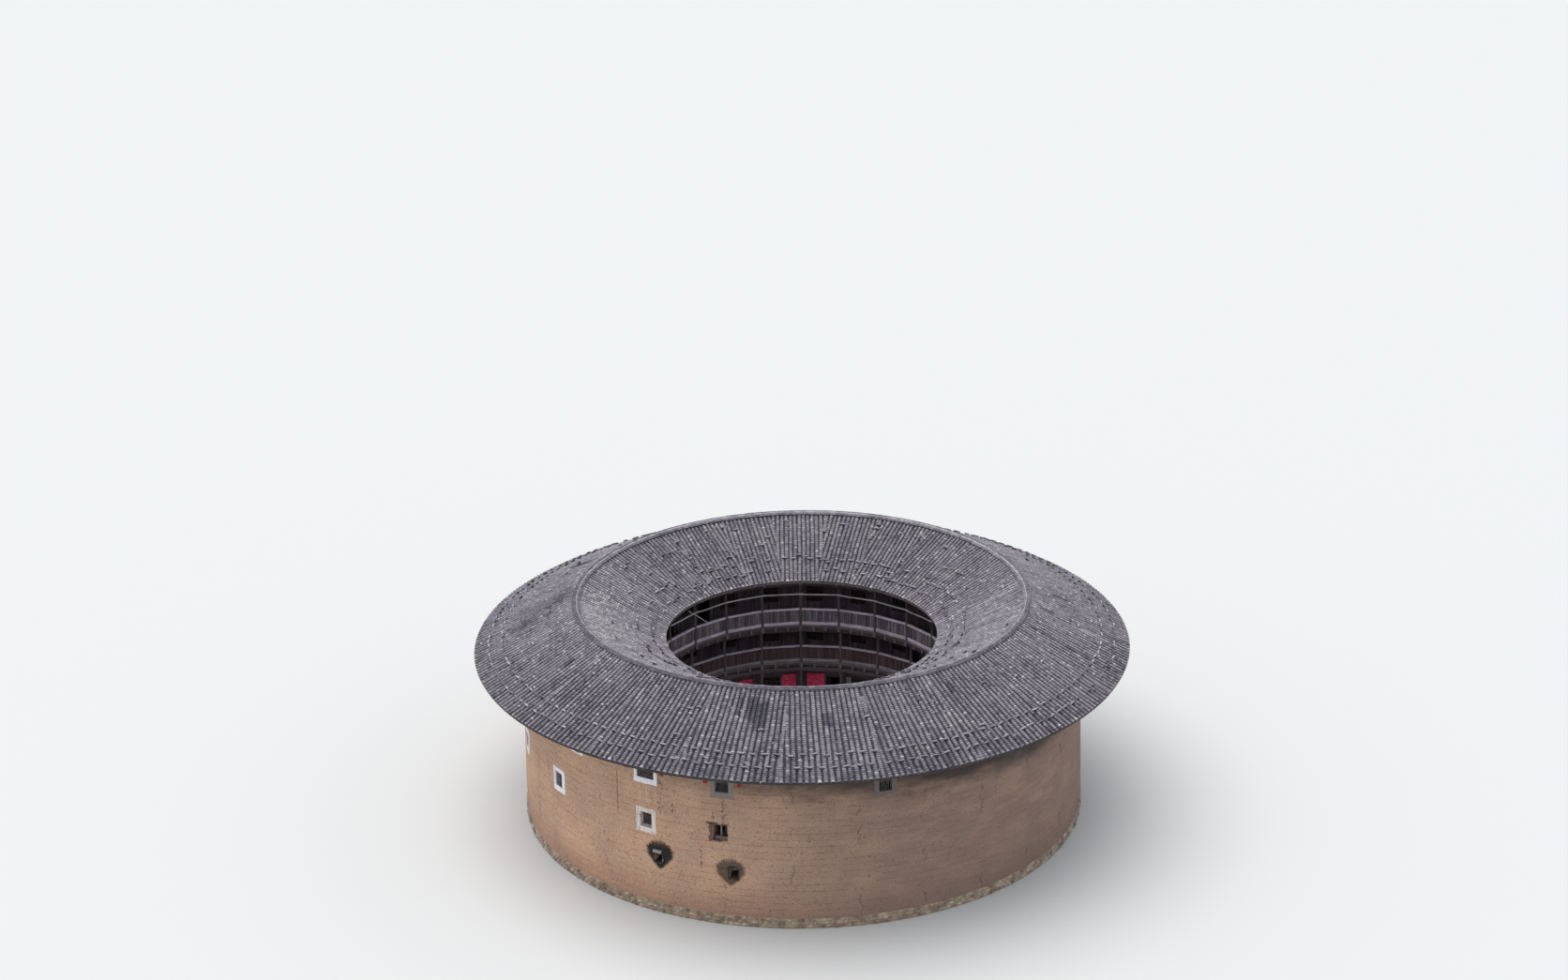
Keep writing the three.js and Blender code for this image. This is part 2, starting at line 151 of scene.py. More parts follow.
class Heap:
    """Many small shapes in one mesh, each face with a tone and each corner with a grain position."""

    def __init__(self):
        self.corners, self.grains, self.loops, self.sizes, self.tones = [], [], [], [], []
        self.count = 0

    def add(self, corners, faces, tone=0.5, grain=None):
        """One shape, or many with the same faces."""
        copies = np.asarray(corners, float).reshape(-1, corners.shape[-2], 3)
        number, points = copies.shape[:2]
        starts = self.count + points * np.arange(number)
        self.loops.append((starts[:, None] + np.concatenate([np.asarray(face) for face in faces])).ravel())
        self.sizes.append(np.tile([len(face) for face in faces], number))
        tone = np.asarray(tone, float)
        tone = tone[:, None] if tone.ndim == 1 else tone
        self.tones.append(np.broadcast_to(tone, (number, len(faces))).ravel())
        self.corners.append(copies.reshape(-1, 3))
        self.grains.append((copies if grain is None else np.asarray(grain, float)).reshape(-1, 3))
        self.count += number * points

    def sheet(self, grid, tone=0.5, grain=None, flip=False):
        """One surface from a grid of corners."""
        faces = grid_faces(*grid.shape[:2])
        self.add(grid.reshape(-1, 3), faces[:, ::-1] if flip else faces, tone, grain)

    def build(self, name, paint, slot, nodes=(), smooth=False):
        corners, loops, sizes = (np.concatenate(part) for part in (self.corners, self.loops, self.sizes))
        mesh = bpy.data.meshes.new(name)
        mesh.vertices.add(len(corners))
        mesh.vertices.foreach_set("co", corners.astype(np.float32).ravel())
        mesh.loops.add(len(loops))
        mesh.loops.foreach_set("vertex_index", loops.astype(np.int32))
        mesh.polygons.add(len(sizes))
        mesh.polygons.foreach_set("loop_start", np.append(0, np.cumsum(sizes)[:-1]).astype(np.int32))
        mesh.polygons.foreach_set("use_smooth", np.full(len(sizes), smooth))
        mesh.update(calc_edges=True)
        tones = mesh.attributes.new("tone", "FLOAT", "FACE")
        tones.data.foreach_set("value", np.concatenate(self.tones).astype(np.float32))
        grain = mesh.attributes.new("grain", "FLOAT_VECTOR", "POINT")
        grain.data.foreach_set("vector", np.concatenate(self.grains).astype(np.float32).ravel())
        mesh.materials.append(paint)
        piece = bpy.data.objects.new(name, mesh)
        bpy.context.scene.collection.objects.link(piece)
        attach(piece, "root")
        if nodes:
            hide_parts(*nodes)


class Paint:
    """A material put together from texture and colour nodes, coat over coat."""

    def __init__(self, name, colour, roughness=0.9):
        self.material = bpy.data.materials.new(name)
        self.material.use_nodes = True
        self.tree = self.material.node_tree
        self.surface = self.tree.nodes["Principled BSDF"]
        self.surface.inputs["Roughness"].default_value = roughness
        self.colour = colour

    def node(self, kind, inputs, output=0, **settings):
        made = self.tree.nodes.new(kind)
        for key, value in settings.items():
            setattr(made, key, value)
        for key, value in inputs.items():
            if isinstance(value, bpy.types.NodeSocket):
                self.tree.links.new(value, made.inputs[key])
            else:
                made.inputs[key].default_value = value
        return made.outputs[output]

    def read(self, attribute, output="Fac"):
        return self.node("ShaderNodeAttribute", {}, output, attribute_name=attribute)

    def position(self):
        return self.node("ShaderNodeTexCoord", {}, "Object")

    def noise(self, vector, scale, detail=4, roughness=0.55):
        """Cloudy values about 0.5; a scale of three numbers stretches the clouds."""
        if isinstance(scale, tuple):
            vector = self.node("ShaderNodeMapping", {"Vector": vector, "Scale": scale})
            scale = 1.0
        inputs = {"Vector": vector, "Scale": scale, "Detail": detail, "Roughness": roughness}
        return self.node("ShaderNodeTexNoise", inputs)

    def work(self, operation, a, b=0.0):
        return self.node("ShaderNodeMath", {0: a, 1: b}, operation=operation)

    def times(self, a, b):
        return self.work("MULTIPLY", a, b)

    def plus(self, a, b):
        return self.work("ADD", a, b)

    def less(self, a, b):
        return self.work("SUBTRACT", a, b)

    def shaken(self, value, noise, much):
        """The value moved to and fro by a noise."""
        return self.plus(value, self.times(self.less(noise, 0.5), much))

    def fade(self, value, low, high, start=0.0, end=1.0):
        """From start to end as the value goes from low to high."""
        inputs = {"Value": value, 1: low, 2: high, 3: start, 4: end}
        return self.node("ShaderNodeMapRange", inputs, interpolation_type="SMOOTHSTEP")

    def mix(self, share, a, b, blend="MIX"):
        a, b = (linear(c) if isinstance(c, tuple) else c for c in (a, b))
        return self.node("ShaderNodeMix", {0: share, 6: a, 7: b}, 2, data_type="RGBA", blend_type=blend)

    def coat(self, colour, share):
        """Another colour laid over the last one, by this share."""
        self.colour = self.mix(share, self.colour, colour)

    def veil(self, colour, value, low, high, most=1.0):
        """Another colour that comes in as the value goes from low to high."""
        self.coat(colour, self.fade(value, low, high, 0.0, most))

    def toned(self, low=0.75, high=1.25):
        """Makes the colour darker or lighter by each face's tone, about 0 to 1."""
        inputs = {"Value": self.read("tone"), 1: 0.0, 2: 1.0, 3: low, 4: high}
        value = self.node("ShaderNodeMapRange", inputs, clamp=False)
        self.colour = self.mix(1.0, self.colour, value, "MULTIPLY")

    def finish(self, height, depth=0.01, strength=0.6):
        self.tree.links.new(self.colour, self.surface.inputs["Base Color"])
        bump = self.node("ShaderNodeBump", {"Height": height, "Distance": depth, "Strength": strength})
        self.tree.links.new(bump, self.surface.inputs["Normal"])
        return self.material


def stone_paint(name, shades, low=0.72, high=1.28):
    dark, pale = shades
    paint = Paint(name, dark, 0.88)
    spot = paint.position()
    specks = paint.noise(spot, 42, 3, 0.7)
    paint.veil(pale, paint.noise(spot, 2.2, 5), 0.35, 0.68)
    paint.veil((222, 214, 200), specks, 0.58, 0.75, 0.35)
    paint.veil((70, 62, 56), specks, 0.42, 0.25, 0.5)
    paint.toned(low, high)
    return paint.finish(paint.noise(spot, 16, 6, 0.65), 0.02)


def closed(section, angles):
    """Grid of corners of a closed section of (radius, height) corners, carried round these angles."""
    ring = np.array([*section, section[0]])
    return place(ring[:, 0], np.asarray(angles)[:, None], ring[:, 1])


def add_ring(heap, section, steps, tone=0.5):
    """A ring turned round the house from a closed section, seen from outside it."""
    heap.sheet(closed(section, np.linspace(0, 360, steps + 1)), tone)


def uneven_parts(number, slack):
    """First angles and widths, in degrees, of parts that share a ring unevenly."""
    edges = (np.arange(number) + chance.uniform(-slack, slack, number)) * 360 / number
    return edges, np.diff(np.append(edges, edges[0] + 360))


def stone_face(heap, angle, height, width, tall, face, proud):
    """Rounded stones set in a wall face, centred at these angles and heights."""
    lines = np.linspace(-1, 1, 6)
    u, v = (g.ravel() for g in np.meshgrid(lines, lines, indexing="ij"))
    across, upward = u * np.sqrt(1 - v * v / 2.4), v * np.sqrt(1 - u * u / 2.4)
    dome = 1 - np.maximum(abs(u), abs(v)) ** 3 * 1.35
    number = len(angle)
    rough = chance.uniform(-0.16, 0.16, (3, number, len(u)))
    turn = angle[:, None] + np.degrees((across * (1 + rough[0])) * width[:, None] / 2 / face)
    rise = height[:, None] + upward * (1 + rough[1]) * tall[:, None] / 2
    reach = face + proud[:, None] * (dome + rough[2] * 0.7)
    heap.add(place(reach, turn, rise), grid_faces(6, 6), chance.uniform(0, 1, number))


def add_plinth():
    core = Heap()
    add_ring(core, [(WALL_INSIDE, 0.0), (PLINTH_FACE + 0.005, 0.0), (PLINTH_FACE - 0.005, PLINTH_TOP),
                    (WALL_INSIDE, PLINTH_TOP)], 240)
    core.build("plinth_mortar", stone_paint("earth_mortar", MORTAR), "rubble_stone", ["stone_plinth"])
    stones = Heap()
    number = int(2 * math.pi * PLINTH_FACE / STONE_WIDTH)
    for course in range(3):
        edges, gaps = uneven_parts(number, 0.22)
        tall = COURSE * chance.uniform(0.86, 1.04, number)
        middle = COURSE * (course + 0.5) + chance.uniform(-0.012, 0.012, number)
        middle = np.clip(middle, tall / 2 * 1.17, PLINTH_TOP + 0.02 - tall / 2)
        width = np.radians(gaps) * PLINTH_FACE * 0.95
        stone_face(stones, edges + course * 0.6 + gaps / 2, middle, width, tall, PLINTH_FACE - 0.015,
                   chance.uniform(0.05, 0.1, number))
    stones.build("plinth_stones", stone_paint("rubble", RUBBLE), "rubble_stone", smooth=True)


add_plinth()

# Rammed-earth wall: lifts of local red earth, lime and bamboo pounded between boards, about 1.2 m thick.
# It leans in a little, is stepped inside at the floors, and its windows were cut through afterwards.
WALL_FOOT = 16.2
WALL_MIDDLE = 16.15
WALL_HEAD = 16.1
HEAD_HEIGHT = 11.101
# Inner face: height at which it steps back, and its radius from there up
WALL_STEPS = [(0.6, 14.8), (4.05, 14.95), (6.65, 15.1)]
UPPER_SILL = 7.9
LOWER_SILL = 5.0
# Windows of the upper and the lower row: angle from the front, width, finish of the opening, what closes it
UPPER_ROW = [(-51, 0.73, "white", "lattice"), (-32.3, 1.1, "white", "bars"), (-16.1, 0.745, "cement", "bars"),
             (15.4, 0.7, "cement", "bars"), (75, 0.73, "white", "bars"), (105, 0.73, "cement", "shutter"),
             (135, 0.73, "white", "bars"), (165, 0.73, "cement", "bars"), (-165, 0.73, "white", "shutter"),
             (-135, 0.73, "cement", "bars"), (-105, 0.73, "white", "bars")]
LOWER_ROW = [(-78, 0.73, "white", "bars"), (-57.8, 0.73, "white", "shutter"), (-32.3, 0.76, "worn", "bars"),
             (-16.6, 0.86, "bare", "post"), (105, 0.73, "worn", "bars"), (165, 0.73, "white", "bars"),
             (-165, 0.73, "bare", "bars"), (-105, 0.73, "worn", "shutter")]
TALL_WINDOW = 0.95
LOW_WINDOW = 0.87
# Every window with its sill and height; the bare one with a post is as tall as the upper ones
WINDOWS = [(angle, UPPER_SILL, width, TALL_WINDOW, *rest) for angle, width, *rest in UPPER_ROW]
WINDOWS += [(angle, LOWER_SILL, width, TALL_WINDOW if "post" in rest else LOW_WINDOW, *rest)
            for angle, width, *rest in LOWER_ROW]
# Smoke vents: angle, sill, width, height
VENTS = [(-29.7, 3.05, 0.52, 0.57), (-14, 2.8, 0.5, 0.6)]
# Soot round the vents: angle, width, foot and top of the black patch, how black it is
SOOT = [(-29.4, 1.7, 2.62, 4.4, 1.0), (-14.6, 1.65, 2.36, 4.05, 0.78)]
# Broken edge of the bare window at -16.6 degrees: distance aside and width, middle and height
CHIPPED = [(-0.09, 0.9, 5.51, 0.96), (-0.55, 0.34, 5.98, 0.05)]
# Single cracks: angle, foot and top
CRACKS = [(-17.9, 6.0, 6.9), (-15.9, 6.05, 6.45), (-62.4, 5.2, 6.1), (-26.3, 6.2, 6.8), (-20.5, 3.1, 4.4),
          (40, 6.1, 7.0)]
LIFT = 0.38
FORM_LENGTH = 1.6965
GATE_ANGLE = 262.5
# Holes through the wall: width, foot and top
PASSAGE = (2.3, 0.9, 3.8)
TIE_HOLE = (0.18, 9.82, 10.06)
WALL_NAMES = {"front": 0, "front_right": 45, "right": 90, "back_right": 135, "back": 180, "back_left": -135,
              "left": -90, "front_left": -45}
EARTH_OCHRE = (202, 162, 132)
EARTH_GREY = (181, 148, 125)
EARTH_RED = (188, 138, 110)
EARTH_LINE = (104, 78, 64)
EARTH_DAMP_AND_SHADE = (118, 100, 92)


def wall_face(height):
    return WALL_FOOT - (WALL_FOOT - WALL_HEAD) * (height - PLINTH_TOP) / (HEAD_HEIGHT - PLINTH_TOP)


def unevenness(angle, height):
    """Gentle swells and hollows of a pounded wall, the same on every length of it."""
    turn = np.radians(angle)
    swell = 0.012 * np.sin(5 * turn + 0.7 * height) + 0.011 * np.sin(11 * turn - 1.3 * height + 2)
    swell += 0.008 * np.sin(29 * turn + 2.1 * height + 1) * np.sin(13 * turn - 3.3 * height)
    return swell + 0.006 * np.sin(83 * turn + 5 * height) * np.sin(61 * turn - 9 * height + 1)


def near_to(angle, middle):
    """The same direction as an angle within half a turn of the middle one."""
    return (angle - middle + 180) % 360 - 180 + middle


def along_wall(angle):
    """Distance along the wall's face from the front to an angle."""
    return math.radians(angle) * WALL_FOOT


def wall_holes():
    holes = [(angle, width, sill, sill + height) for angle, sill, width, height, *_ in WINDOWS + VENTS]
    holes += [(15.0 * bent, *TIE_HOLE) for bent in range(24)]
    return holes + [(GATE_ANGLE, *PASSAGE)]


def lines_between(low, high, step, kept):
    """Evenly spaced grid lines from low to high that also pass through the kept values."""
    kept = sorted({low, high, *(k for k in kept if low < k < high)})
    lines = []
    for a, b in zip(kept, kept[1:]):
        lines.extend(np.linspace(a, b, max(1, round((b - a) / step)) + 1)[:-1])
    return np.array([*lines, high])


def add_wall_sheet(heap, first, last, bottom, top, radius, face, step, rise, inward=False):
    """One face of the wall between two angles and heights, with its holes left out."""
    inside = []
    middle = (first + last) / 2
    for angle, width, low, high in wall_holes():
        near = near_to(angle, middle)
        half = math.degrees(math.asin(width / 2 / radius))
        if near + half > first and near - half < last and high > bottom and low < top:
            inside.append((near - half, near + half, low, high))
    angles = lines_between(first, last, step, [x for hole in inside for x in hole[:2]])
    levels = lines_between(bottom, top, rise, [x for hole in inside for x in hole[2:]])
    a, z = np.meshgrid(angles, levels, indexing="ij")
    reach = face(a, z)
    middle_a, middle_z = (a[1:, 1:] + a[:-1, :-1]) / 2, (z[1:, 1:] + z[:-1, :-1]) / 2
    kept = np.ones(middle_a.shape, bool)
    for left, right, low, high in inside:
        kept &= ~((middle_a > left) & (middle_a < right) & (middle_z > low) & (middle_z < high))
    faces = grid_faces(*a.shape)[kept.ravel()]
    grain = np.stack([np.radians(a) * WALL_FOOT, z, reach - radius], -1)
    heap.add(place(reach, a, z).reshape(-1, 3), faces[:, ::-1] if inward else faces, 0.5, grain)


def hole_sides(radii, angle, width, low, high):
    """Grid of corners of the four sides of a hole at these radii."""
    aside = np.degrees(np.arcsin(width / 2 / radii))
    round_it = ((low, -1), (low, 1), (high, 1), (high, -1), (low, -1))
    return np.array([place(radii, angle + sign * aside, level) for level, sign in round_it])


def add_reveals(heap, angle, width, low, high, inner):
    """The four sides of a hole through the wall, a little rough."""
    middle = (low + high) / 2
    outer = wall_face(middle) + unevenness(angle, middle) + 0.01
    corners = hole_sides(np.linspace(inner, outer, 5), angle, width, low, high)
    corners[:, 1:-1] += chance.uniform(-0.012, 0.012, corners[:, 1:-1].shape)
    corners[-1] = corners[0]
    run = along_wall(angle) + np.arange(5)[:, None] * width / 2
    heap.sheet(corners, 0.42, np.stack(np.broadcast_arrays(run, corners[..., 2], -0.4), -1), flip=True)


class EarthPaint(Paint):
    """Ochre earth, with the distance along the wall, the height and the noises that its marks share."""

    def __init__(self):
        super().__init__("rammed_earth", EARTH_OCHRE, 0.95)
        self.spot = self.position()
        self.run = self.node("ShaderNodeSeparateXYZ", {0: self.read("grain", "Vector")})
        self.level = self.run.node.outputs[1]
        self.middling = self.noise(self.spot, (0.55, 0.55, 1.5), 6, 0.6)
        self.fine = self.noise(self.spot, 9.0, 6, 0.65)
        self.grit = self.noise(self.spot, 60.0, 2, 0.5)
        self.speckles = self.noise(self.spot, 8.5, 3, 0.6)

    def from_angle(self, angle, aside=0.0):
        return self.less(self.run, along_wall(angle) + aside)

    def near(self, angle, width, soft=0.08, ragged=0.25):
        """1 within half this width of the line at an angle, with a ragged edge."""
        off = self.shaken(self.work("ABSOLUTE", self.from_angle(angle)), self.fine, ragged)
        return self.fade(off, width / 2 + soft, width / 2 - soft)

    def between(self, bottom, top, soft=0.3, ragged=0.8):
        """1 between two heights, with ragged edges."""
        level = self.shaken(self.level, self.fine, ragged)
        over_foot = self.fade(level, bottom - soft, bottom + soft)
        return self.times(over_foot, self.fade(level, top + soft, top - soft))

    def lay_lifts(self):
        """Batches of earth, the lines between the lifts, and the holes left by the formwork's cross bars."""
        wobble = self.times(self.noise(self.spot, (0.5, 0.5, 0.2), 3), 0.22)
        lift = self.plus(self.work("DIVIDE", self.level, LIFT), wobble)
        number = self.work("FLOOR", lift)
        from_line = self.work("PINGPONG", lift, 0.5)
        shift = self.node("ShaderNodeTexWhiteNoise", {"W": number}, noise_dimensions="1D")
        length = self.plus(self.work("DIVIDE", self.run, FORM_LENGTH), self.times(shift, 7.0))
        batch = self.node("ShaderNodeCombineXYZ", {0: number, 1: self.work("FLOOR", length)})
        own = self.node("ShaderNodeTexWhiteNoise", {"Vector": batch})
        self.coat((214, 180, 150), self.times(own, 0.15))
        self.veil((220, 190, 164), self.fine, 0.53, 0.72, 0.5)
        self.veil((122, 92, 76), self.fine, 0.47, 0.3, 0.5)
        self.veil((104, 80, 66), self.grit, 0.36, 0.24, 0.45)
        self.veil((146, 108, 90), self.plus(self.level, self.times(self.middling, 1.6)), 3.4, 1.2, 0.55)
        self.lines = self.times(self.fade(from_line, 0.045, 0.0), self.fade(self.middling, 0.36, 0.6))
        end = self.fade(self.work("PINGPONG", length, 0.5), 0.01, 0.0)
        ends = self.times(end, self.fade(self.fine, 0.48, 0.6))
        self.coat(EARTH_LINE, self.times(self.work("MAXIMUM", self.lines, self.times(ends, 0.5)), 0.75))
        bar = self.fade(self.work("PINGPONG", self.times(length, 1.6), 0.5), 0.032, 0.018)
        bars = self.times(bar, self.fade(from_line, 0.075, 0.045))
        self.pits = self.times(bars, self.fade(self.noise(self.spot, 0.7, 2), 0.48, 0.53))
        self.coat((58, 43, 36), self.times(self.pits, 0.9))

    def wear(self):
        """Speckles, long cracks and rain streaks, then painted shade, partly damp, on the right of the wall,
        and painted shade under the eave.
        """
        self.veil(EARTH_LINE, self.speckles, 0.6, 0.68, 0.6)
        self.veil((226, 200, 172), self.speckles, 0.38, 0.3, 0.45)
        bend = self.times(self.noise(self.spot, (0.7, 0.7, 2.6), 6, 0.75), 0.42)
        crack = self.work("PINGPONG", self.plus(self.work("DIVIDE", self.run, 3.7), bend), 0.5)
        here = self.fade(self.noise(self.spot, 0.6, 4), 0.52, 0.58)
        self.cracks = self.times(self.fade(crack, 0.0045, 0.002), here)
        self.coat((62, 46, 38), self.times(self.cracks, 0.85))
        self.veil((128, 104, 90), self.noise(self.spot, (5.5, 5.5, 0.22), 4, 0.6), 0.58, 0.74, 0.2)
        # Painted shade on the right of the wall, partly damp: the earth darkens and greys from the front
        # round to the back right.
        shady = self.times(self.fade(self.run, -10.0, 7.0), self.fade(self.run, 57.0, 34.0))
        self.coat(EARTH_DAMP_AND_SHADE, self.times(shady, self.fade(self.middling, 0.25, 0.6, 0.62, 0.8)))
        # Painted shade under the eave: a dark band below it, deepest on the front right.
        high = self.shaken(self.level, self.middling, 1.6)
        high = self.plus(high, self.fade(self.run, 2.0, 12.0, 0.0, 0.5))
        eave_shade = self.times(self.fade(high, 7.2, 8.7), self.fade(self.run, -9.0, 3.0, 0.2, 0.9))
        self.coat((54, 46, 44), self.times(eave_shade, self.fade(self.run, 57.0, 34.0, 0.22, 1.0)))

    def blacken(self, angle, width, bottom, top, black):
        """A pear-shaped patch of soot with a rayed edge, as smoke leaves it round a vent."""
        aside = self.from_angle(angle)
        share = self.work("DIVIDE", self.less(self.level, bottom), top - bottom)
        above = self.less(1.0, share)
        below = self.times(self.work("POWER", self.work("MAXIMUM", share, 0.0), 0.75), 1.75)
        narrow = self.work("SQRT", self.work("MAXIMUM", self.times(above, 3.4), 0.0))
        spread = self.times(self.work("MINIMUM", below, 1.0), self.work("MINIMUM", narrow, 1.0))
        bearing = self.work("ARCTAN2", self.less(self.level, bottom + (top - bottom) * 0.35), aside)
        rays = self.noise(self.node("ShaderNodeCombineXYZ", {0: self.times(bearing, 9.0)}), 1.0, 5, 0.75)
        fuzz = self.times(self.less(rays, 0.5), self.fade(share, 0.35, 0.8, 0.3, 1.5))
        inside = self.less(spread, self.work("DIVIDE", self.work("ABSOLUTE", aside), width / 2))
        inside = self.work("MINIMUM", inside, self.times(above, 1.6))
        inside = self.work("MINIMUM", inside, self.times(share, 8.0))
        soot = self.fade(self.plus(inside, self.shaken(fuzz, self.fine, 0.35)), -0.12, 0.2)
        self.coat((12, 11, 16), self.times(soot, self.fade(share, 0.72, 1.05, 0.97 * black, 0.7 * black)))

    def mark(self):
        """Marks at known places: single cracks, a red drip, broken edges and lime run down from a window."""
        for angle, foot, top in CRACKS:
            crack = self.times(self.near(angle, 0.045, 0.02, 0.4), self.between(foot, top, 0.1, 0.5))
            self.coat((78, 58, 50), self.times(crack, 0.75))
        red = self.times(self.near(-39.2, 0.1, 0.04, 0.12), self.between(5.3, 8.1))
        self.coat((172, 84, 60), self.times(red, 0.7))
        for aside, wide, middle, tall in CHIPPED:
            beyond = [self.less(self.work("ABSOLUTE", self.from_angle(-16.6, aside)), wide / 2),
                      self.less(self.work("ABSOLUTE", self.less(self.level, middle)), tall / 2)]
            shake = self.plus(self.times(self.noise(self.spot, 2.6, 4), 0.5), self.times(self.fine, 0.25))
            chipped = self.fade(self.less(self.work("MAXIMUM", *beyond), shake), -0.29, -0.35)
            self.coat((66, 50, 43), self.times(chipped, 0.8))
        drips = self.times(self.near(-32.3, 1.2, 0.1, 0.2), self.between(6.5, 7.7, 0.3, 1.2))
        drips = self.times(drips, self.fade(self.noise(self.spot, (14, 14, 0.5), 3), 0.54, 0.66))
        self.coat((214, 198, 184), self.times(drips, 0.6))

    def relief(self):
        height = self.plus(self.times(self.fine, 0.6), self.times(self.grit, 0.25))
        height = self.less(height, self.times(self.lines, 0.35))
        height = self.less(height, self.plus(self.pits, self.cracks))
        return self.less(height, self.fade(self.speckles, 0.62, 0.7, 0.0, 0.7))


def earth_paint():
    paint = EarthPaint()
    paint.veil(EARTH_GREY, paint.noise(paint.spot, 0.3, 5), 0.35, 0.65)
    paint.veil(EARTH_RED, paint.middling, 0.45, 0.75, 0.6)
    paint.lay_lifts()
    paint.wear()
    for patch in SOOT:
        paint.blacken(*patch)
    paint.mark()
    return paint.finish(paint.relief(), 0.035, 0.8)


def add_earth_walls():
    paint = earth_paint()
    steps = [*WALL_STEPS, (HEAD_HEIGHT, WALL_HEAD + 0.02)]
    for name, middle in WALL_NAMES.items():
        first, last = middle - 22.5, middle + 22.5
        heap = Heap()
        add_wall_sheet(heap, first, last, PLINTH_TOP, HEAD_HEIGHT, WALL_MIDDLE,
                       lambda a, z: wall_face(z) + unevenness(a, z), 0.75, 0.22)
        for (bottom, inner), (top, outer) in zip(steps, steps[1:]):
            add_wall_sheet(heap, first, last, bottom, top, inner,
                           lambda a, z, r=inner: r - unevenness(a, z) * 0.3, 2.5, 0.8, inward=True)
            heap.sheet(place(np.array([outer, inner]), np.linspace(first, last, 61)[:, None], top))
        for angle, width, low, high in wall_holes():
            near = near_to(angle, middle)
            if first < near <= last:
                inner = [radius for bottom, radius in WALL_STEPS if bottom <= low + 0.01][-1]
                add_reveals(heap, near, width, low, high, inner)
        heap.build(f"earth_wall_{name}", paint, "rammed_earth", [f"outer_wall_{name}"])


add_earth_walls()

# Window surrounds: a band of lime plaster or grey cement brushed round each opening and onto its sides.
# Some are bright white, some worn through to the earth, and two of the holes were left bare.
BAND_TOP = 0.26
BAND_FOOT = 0.32
BAND_SIDE = 0.27
NARROW_SIDE = 0.2
# Windows whose band is cut short at the foot
HIGH_FOOT = {-51: 0.08, 15.4: 0.15}
BAND_PROUD = 0.018
BAND_WAVER = 0.022
LINER = 0.016
LINER_DEPTH = 0.32
# Plasters: colour, and how much is worn off
PLASTERS = {"white": ((240, 234, 238), 0.0), "worn": ((222, 212, 204), 0.05),
            "cement": ((128, 122, 118), -0.03)}
# Mortar round a smoke vent: left and right edges in widths of the vent, how far it stands out
HOOD = (-0.56, 0.4, 0.09)
RIM_FOOT = (-0.58, 0.58, 0.03)
RIM_LEFT = (-0.62, -0.5, 0.03)
RIM_RIGHT = (0.5, 0.62, 0.03)
HOOD_TALL = 0.15
RIM_TALL = 0.07
VENT_MORTAR = (152, 146, 144)
SOOTY_MORTAR = (44, 40, 42)


def plaster_paint(name, colour, worn=0.0):
    """Brushed plaster with dirt runs, worn through in places; tone 0.5 is its plain colour and 0 is dark, a
    painted shade.
    """
    paint = Paint(name, colour, 0.85)
    spot = paint.read("grain", "Vector")
    fine = paint.noise(spot, 26, 4, 0.6)
    paint.veil(darker(colour, 0.8), fine, 0.45, 0.7, 0.3)
    paint.veil((132, 110, 94), paint.noise(spot, (9, 0.6, 1)), 0.5, 0.75, 0.45)
    paint.veil((168, 134, 106), paint.noise(spot, 2.6, 6, 0.65), 0.62 - worn, 0.68 - worn, 0.9)
    paint.toned(0.5, 1.5)
    return paint.finish(fine, 0.008)


def rim_of(grid):
    """The outermost corners of a grid, in order and closed."""
    return np.concatenate([grid[:, 0], grid[-1, 1:], grid[-2::-1, -1], grid[0, -2:0:-1], grid[:1, 0]])


def add_band(heap, angle, sill, width, height):
    """Plaster round one opening and onto its sides, with wavering outer edges."""
    middle = sill + height / 2
    half = width / 2
    run = along_wall(angle)
    band = BAND_SIDE if width < 1 else NARROW_SIDE
    # The surrounds on the front right are darker: painted shade.
    tone = 0.15 if 0 < angle < 60 else 0.5
    across = [-half - band, -half, -half / 2, 0, half / 2, half, half + band]
    levels = [-HIGH_FOOT.get(angle, BAND_FOOT), 0, height / 3, height * 2 / 3, height, height + BAND_TOP]
    a, z = (g.copy() for g in np.meshgrid(across, sill + np.array(levels), indexing="ij"))
    shake = chance.uniform(-BAND_WAVER, BAND_WAVER, (2, *a.shape))
    a[[0, -1]] += shake[0][[0, -1]]
    z[:, [0, -1]] += shake[1][:, [0, -1]]
    turn = angle + np.degrees(a / WALL_FOOT)
    back, front = (place(wall_face(z) + unevenness(turn, z) + lift, turn, z) for lift in (-0.03, BAND_PROUD))
    solid = np.ones((len(across) - 1, len(levels) - 1), bool)
    solid[1:-1, 1:-1] = False
    grain = np.stack([run + a, z, 0 * a], -1)
    heap.add(front.reshape(-1, 3), grid_faces(*a.shape)[solid.ravel()], tone, grain)
    edge = np.array([rim_of(back), rim_of(front)])
    heap.sheet(edge, tone, np.broadcast_to([run, middle, 0.3], edge.shape), flip=True)
    radii = wall_face(middle) + np.array([BAND_PROUD + 0.012, -LINER_DEPTH])
    liner = hole_sides(radii, angle, width - 2 * LINER, sill + LINER, sill + height - LINER)
    heap.sheet(liner, tone, liner + [run, 0, 0])


def add_mortar(heap, angle, radius, low, high, left, right, proud):
    """A rough strip of mortar on the wall between two heights and two distances aside."""
    spread = angle + np.degrees(np.linspace(left, right, 4) / radius)
    corners = closed([(radius - 0.05, low), (radius + proud, low), (radius + proud * 0.8, high),
                      (radius - 0.05, high)], spread)
    corners = corners + chance.uniform(-0.008, 0.008, corners.shape)
    corners[:, -1] = corners[:, 0]
    heap.add(corners.reshape(-1, 3), [*grid_faces(4, 5), (0, 1, 2, 3), (18, 17, 16, 15)])


